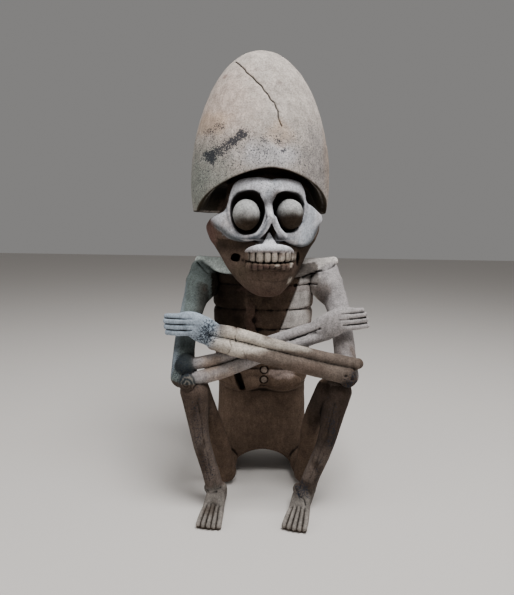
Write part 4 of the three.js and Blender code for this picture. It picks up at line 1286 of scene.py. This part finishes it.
def sunken(points, normals, edges, rounds):
    """How far each point lies below the mean of its surroundings; more rounds look wider."""
    smooth = points
    for _ in range(rounds):
        smooth = neighbours_mean(smooth, edges)
    return ((smooth - points) * normals).sum(1)


colours, flecks = paint(points, normals, edges)
mesh.vertices.foreach_set("co", ((points - ORIGIN) * MM).astype(np.float32).ravel())
mesh.update()
crease = sunken(points, normals, edges, 1)
crease = 0.4 * crease + 0.6 * neighbours_mean(crease, edges)
pocket = sunken(points, normals, edges, 24)
store("tint", np.hstack([colours, np.ones((len(points), 1))]), "FLOAT_COLOR", "color")
store("flecks", flecks)
# how sunken each place is: hollows darken by dirt and painted shade, ridges rub paler
store("hollow", np.clip(crease / 0.4 + 0.45 * np.clip(pocket / 2.0, -0.6, 1.2), -1, 1))
mesh.polygons.foreach_set("use_smooth", np.ones(len(mesh.polygons), bool))


# Material

# Pattern sizes in millimetres: soft clouds, upright wiping streaks, sand grit, and specks of a
# worn coating. The grit is drawn coarser than the real temper so that it shows.
CLOUD_SIZE, STREAK_SIZE, GRIT_SIZE, SPECK_SIZE = 14.29, 5.0, 2.381, 2.128
STREAK_STRETCH = (1, 1, 0.15)
NOISE = ("Vector", "Scale", "Detail", "Roughness")
RANGE = ("Value", "From Min", "From Max", "To Min", "To Max")


def node(tree, kind, output, inputs=(), **settings):
    """Adds a node, sets it, fills inputs given as (socket, value or another node's output), and
    hands back one of its outputs."""
    made = tree.nodes.new(kind)
    for key, value in settings.items():
        setattr(made, key, value)
    for entry, value in inputs:
        if isinstance(value, bpy.types.NodeSocket):
            tree.links.new(value, made.inputs[entry])
        else:
            made.inputs[entry].default_value = value
    return made.outputs[output]


def fired_clay():
    """Low-fired earthenware, smoothed by hand and long buried: dull, gritty, darkened in hollows
    and creases by dirt and painted shade together, rubbed paler on edges, flecked blue-black
    where a coating has worn to specks."""
    material = bpy.data.materials.new("fired_clay")
    material.use_nodes = True
    tree = material.node_tree
    place = node(tree, "ShaderNodeTexCoord", "Object")
    drawn = node(tree, "ShaderNodeVectorMath", 0, [(0, place), (1, STREAK_STRETCH)],
                 operation="MULTIPLY")
    clouds, streaks, grit, specks = (
        node(tree, "ShaderNodeTexNoise", "Fac",
             zip(NOISE, (vector, 1 / (size * MM), detail, rough)))
        for vector, size, detail, rough in (
            (place, CLOUD_SIZE, 6.0, 0.65), (drawn, STREAK_SIZE, 3.0, 0.6),
            (place, GRIT_SIZE, 3.0, 0.7), (place, SPECK_SIZE, 4.0, 0.75)))
    colour, hollow, flecks = (
        node(tree, "ShaderNodeAttribute", output, attribute_name=name)
        for name, output in (("tint", "Color"), ("hollow", "Fac"), ("flecks", "Fac")))
    # the range of each pattern, and what it multiplies the colour by at either end: hollows
    # and creases darken, partly dirt and partly painted shade, and edges are rubbed pale
    for pattern in ((clouds, 0.3, 0.7, 0.75, 1.2), (streaks, 0.3, 0.7, 0.86, 1.1),
                    (grit, 0.28, 0.62, 0.55, 1.12), (hollow, 0.08, 0.75, 1.0, 0.14),
                    (hollow, -0.6, -0.1, 1.22, 1.0)):
        share = node(tree, "ShaderNodeMapRange", "Result", zip(RANGE, pattern))
        colour = node(tree, "ShaderNodeVectorMath", 0, [(0, colour), (1, share)],
                      operation="MULTIPLY")
    # a fleck shows where the stored share and the noise together pass about a half
    chance = node(tree, "ShaderNodeMapRange", "Result",
                  zip(RANGE, (specks, 0.25, 0.75, -0.8, 0.8)))
    total = node(tree, "ShaderNodeMath", 0, [(0, flecks), (1, chance)], operation="ADD")
    fleck = node(tree, "ShaderNodeMapRange", "Result", zip(RANGE, (total, 0.44, 0.6, 0.0, 0.9)))
    flecked = node(tree, "ShaderNodeMix", 2, [(0, fleck), (6, colour), (7, (*BLUE_BLACK, 1))],
                   data_type="RGBA")
    bump = node(tree, "ShaderNodeBump", "Normal",
                [("Height", grit), ("Strength", 0.35), ("Distance", 0.0006)])
    shader = tree.nodes["Principled BSDF"]
    tree.links.new(flecked, shader.inputs["Base Color"])
    tree.links.new(bump, shader.inputs["Normal"])
    shader.inputs["Roughness"].default_value = 0.9
    shader.inputs["Specular IOR Level"].default_value = 0.12
    return material


mesh.materials.clear()
mesh.materials.append(fired_clay())
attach(figure, "root")
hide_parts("figure")


# Studio, in metres

FLOOR_HALF = 6.0
# Lamps: place, aim, size, power
LAMPS = {
    "overhead": ((0.3, -0.55, 1.9), (0, 0.02, 0.4), 0.9, 46),
    "left_fill": ((-1.6, -0.7, 1.0), (0, 0, 0.35), 1.2, 10),
    "right_fill": ((1.6, -0.4, 1.0), (0, 0, 0.35), 1.2, 6),
}
ROOM_LIGHT = 0.32
# Camera: place in millimetres, tip and roll, focal length and picture height in pixels, and
# the sensor's size in millimetres
CAMERA_PLACE = np.array([-14.5, -752, 421])
CAMERA_PITCH, CAMERA_ROLL = math.radians(8.3), math.radians(0.9)
FOCAL_PIXELS, FRAME_PIXELS, SENSOR = 490, 595, 36


def set_up(name, data, place, right, up, away):
    """Puts an object into the scene at a place, its own x, y and z along the three ways."""
    obj = bpy.data.objects.new(name, data)
    bpy.context.scene.collection.objects.link(obj)
    turn = Matrix([(*row, 0) for row in np.stack([right, up, away], 1)] + [(0, 0, 0, 1)])
    obj.matrix_world = Matrix.Translation(place) @ turn
    return obj


def studio():
    """A pale paper floor, an even room light, and lamps that look along their own -z."""
    floor = bpy.data.meshes.new("floor")
    corners = [(x * FLOOR_HALF, y * FLOOR_HALF, 0) for x, y in ((-1, -1), (1, -1), (1, 1), (-1, 1))]
    floor.from_pydata(corners, [], [(0, 1, 2, 3)])
    paper = bpy.data.materials.new("pale_paper")
    paper.use_nodes = True
    surface = paper.node_tree.nodes["Principled BSDF"].inputs
    surface["Base Color"].default_value = (*PAPER, 1)
    surface["Roughness"].default_value = 0.8
    floor.materials.append(paper)
    floor_obj = set_up("floor", floor, (0, 0, 0), *np.eye(3))
    world = bpy.data.worlds.new("studio")
    world.use_nodes = True
    light = world.node_tree.nodes["Background"].inputs
    light["Color"].default_value = (*ROOM, 1)
    light["Strength"].default_value = ROOM_LIGHT
    bpy.context.scene.world = world
    for name, (place, aim, size, power) in LAMPS.items():
        lamp = bpy.data.lights.new(name, "AREA")
        lamp.size, lamp.energy = size, power
        away = np.array(place) - np.array(aim)
        away /= np.linalg.norm(away)
        right = np.cross(BACKWARD if abs(away[2]) > 0.9 else UPWARD, away)
        right /= np.linalg.norm(right)
        set_up(name, lamp, place, right, np.cross(away, right), away)


def camera():
    """Level with the chin, a little to the figure's right, tipped down and rolled slightly."""
    ahead = np.array([0, math.cos(CAMERA_PITCH), -math.sin(CAMERA_PITCH)])
    over = np.array([0, math.sin(CAMERA_PITCH), math.cos(CAMERA_PITCH)])
    level = np.array([1.0, 0, 0])
    right = math.cos(CAMERA_ROLL) * level + math.sin(CAMERA_ROLL) * over
    up = -math.sin(CAMERA_ROLL) * level + math.cos(CAMERA_ROLL) * over
    lens = bpy.data.cameras.new("camera")
    lens.lens = FOCAL_PIXELS / FRAME_PIXELS * SENSOR
    place = (CAMERA_PLACE - ORIGIN) * MM
    bpy.context.scene.camera = set_up("camera", lens, place, right, up, -ahead)


studio()
camera()
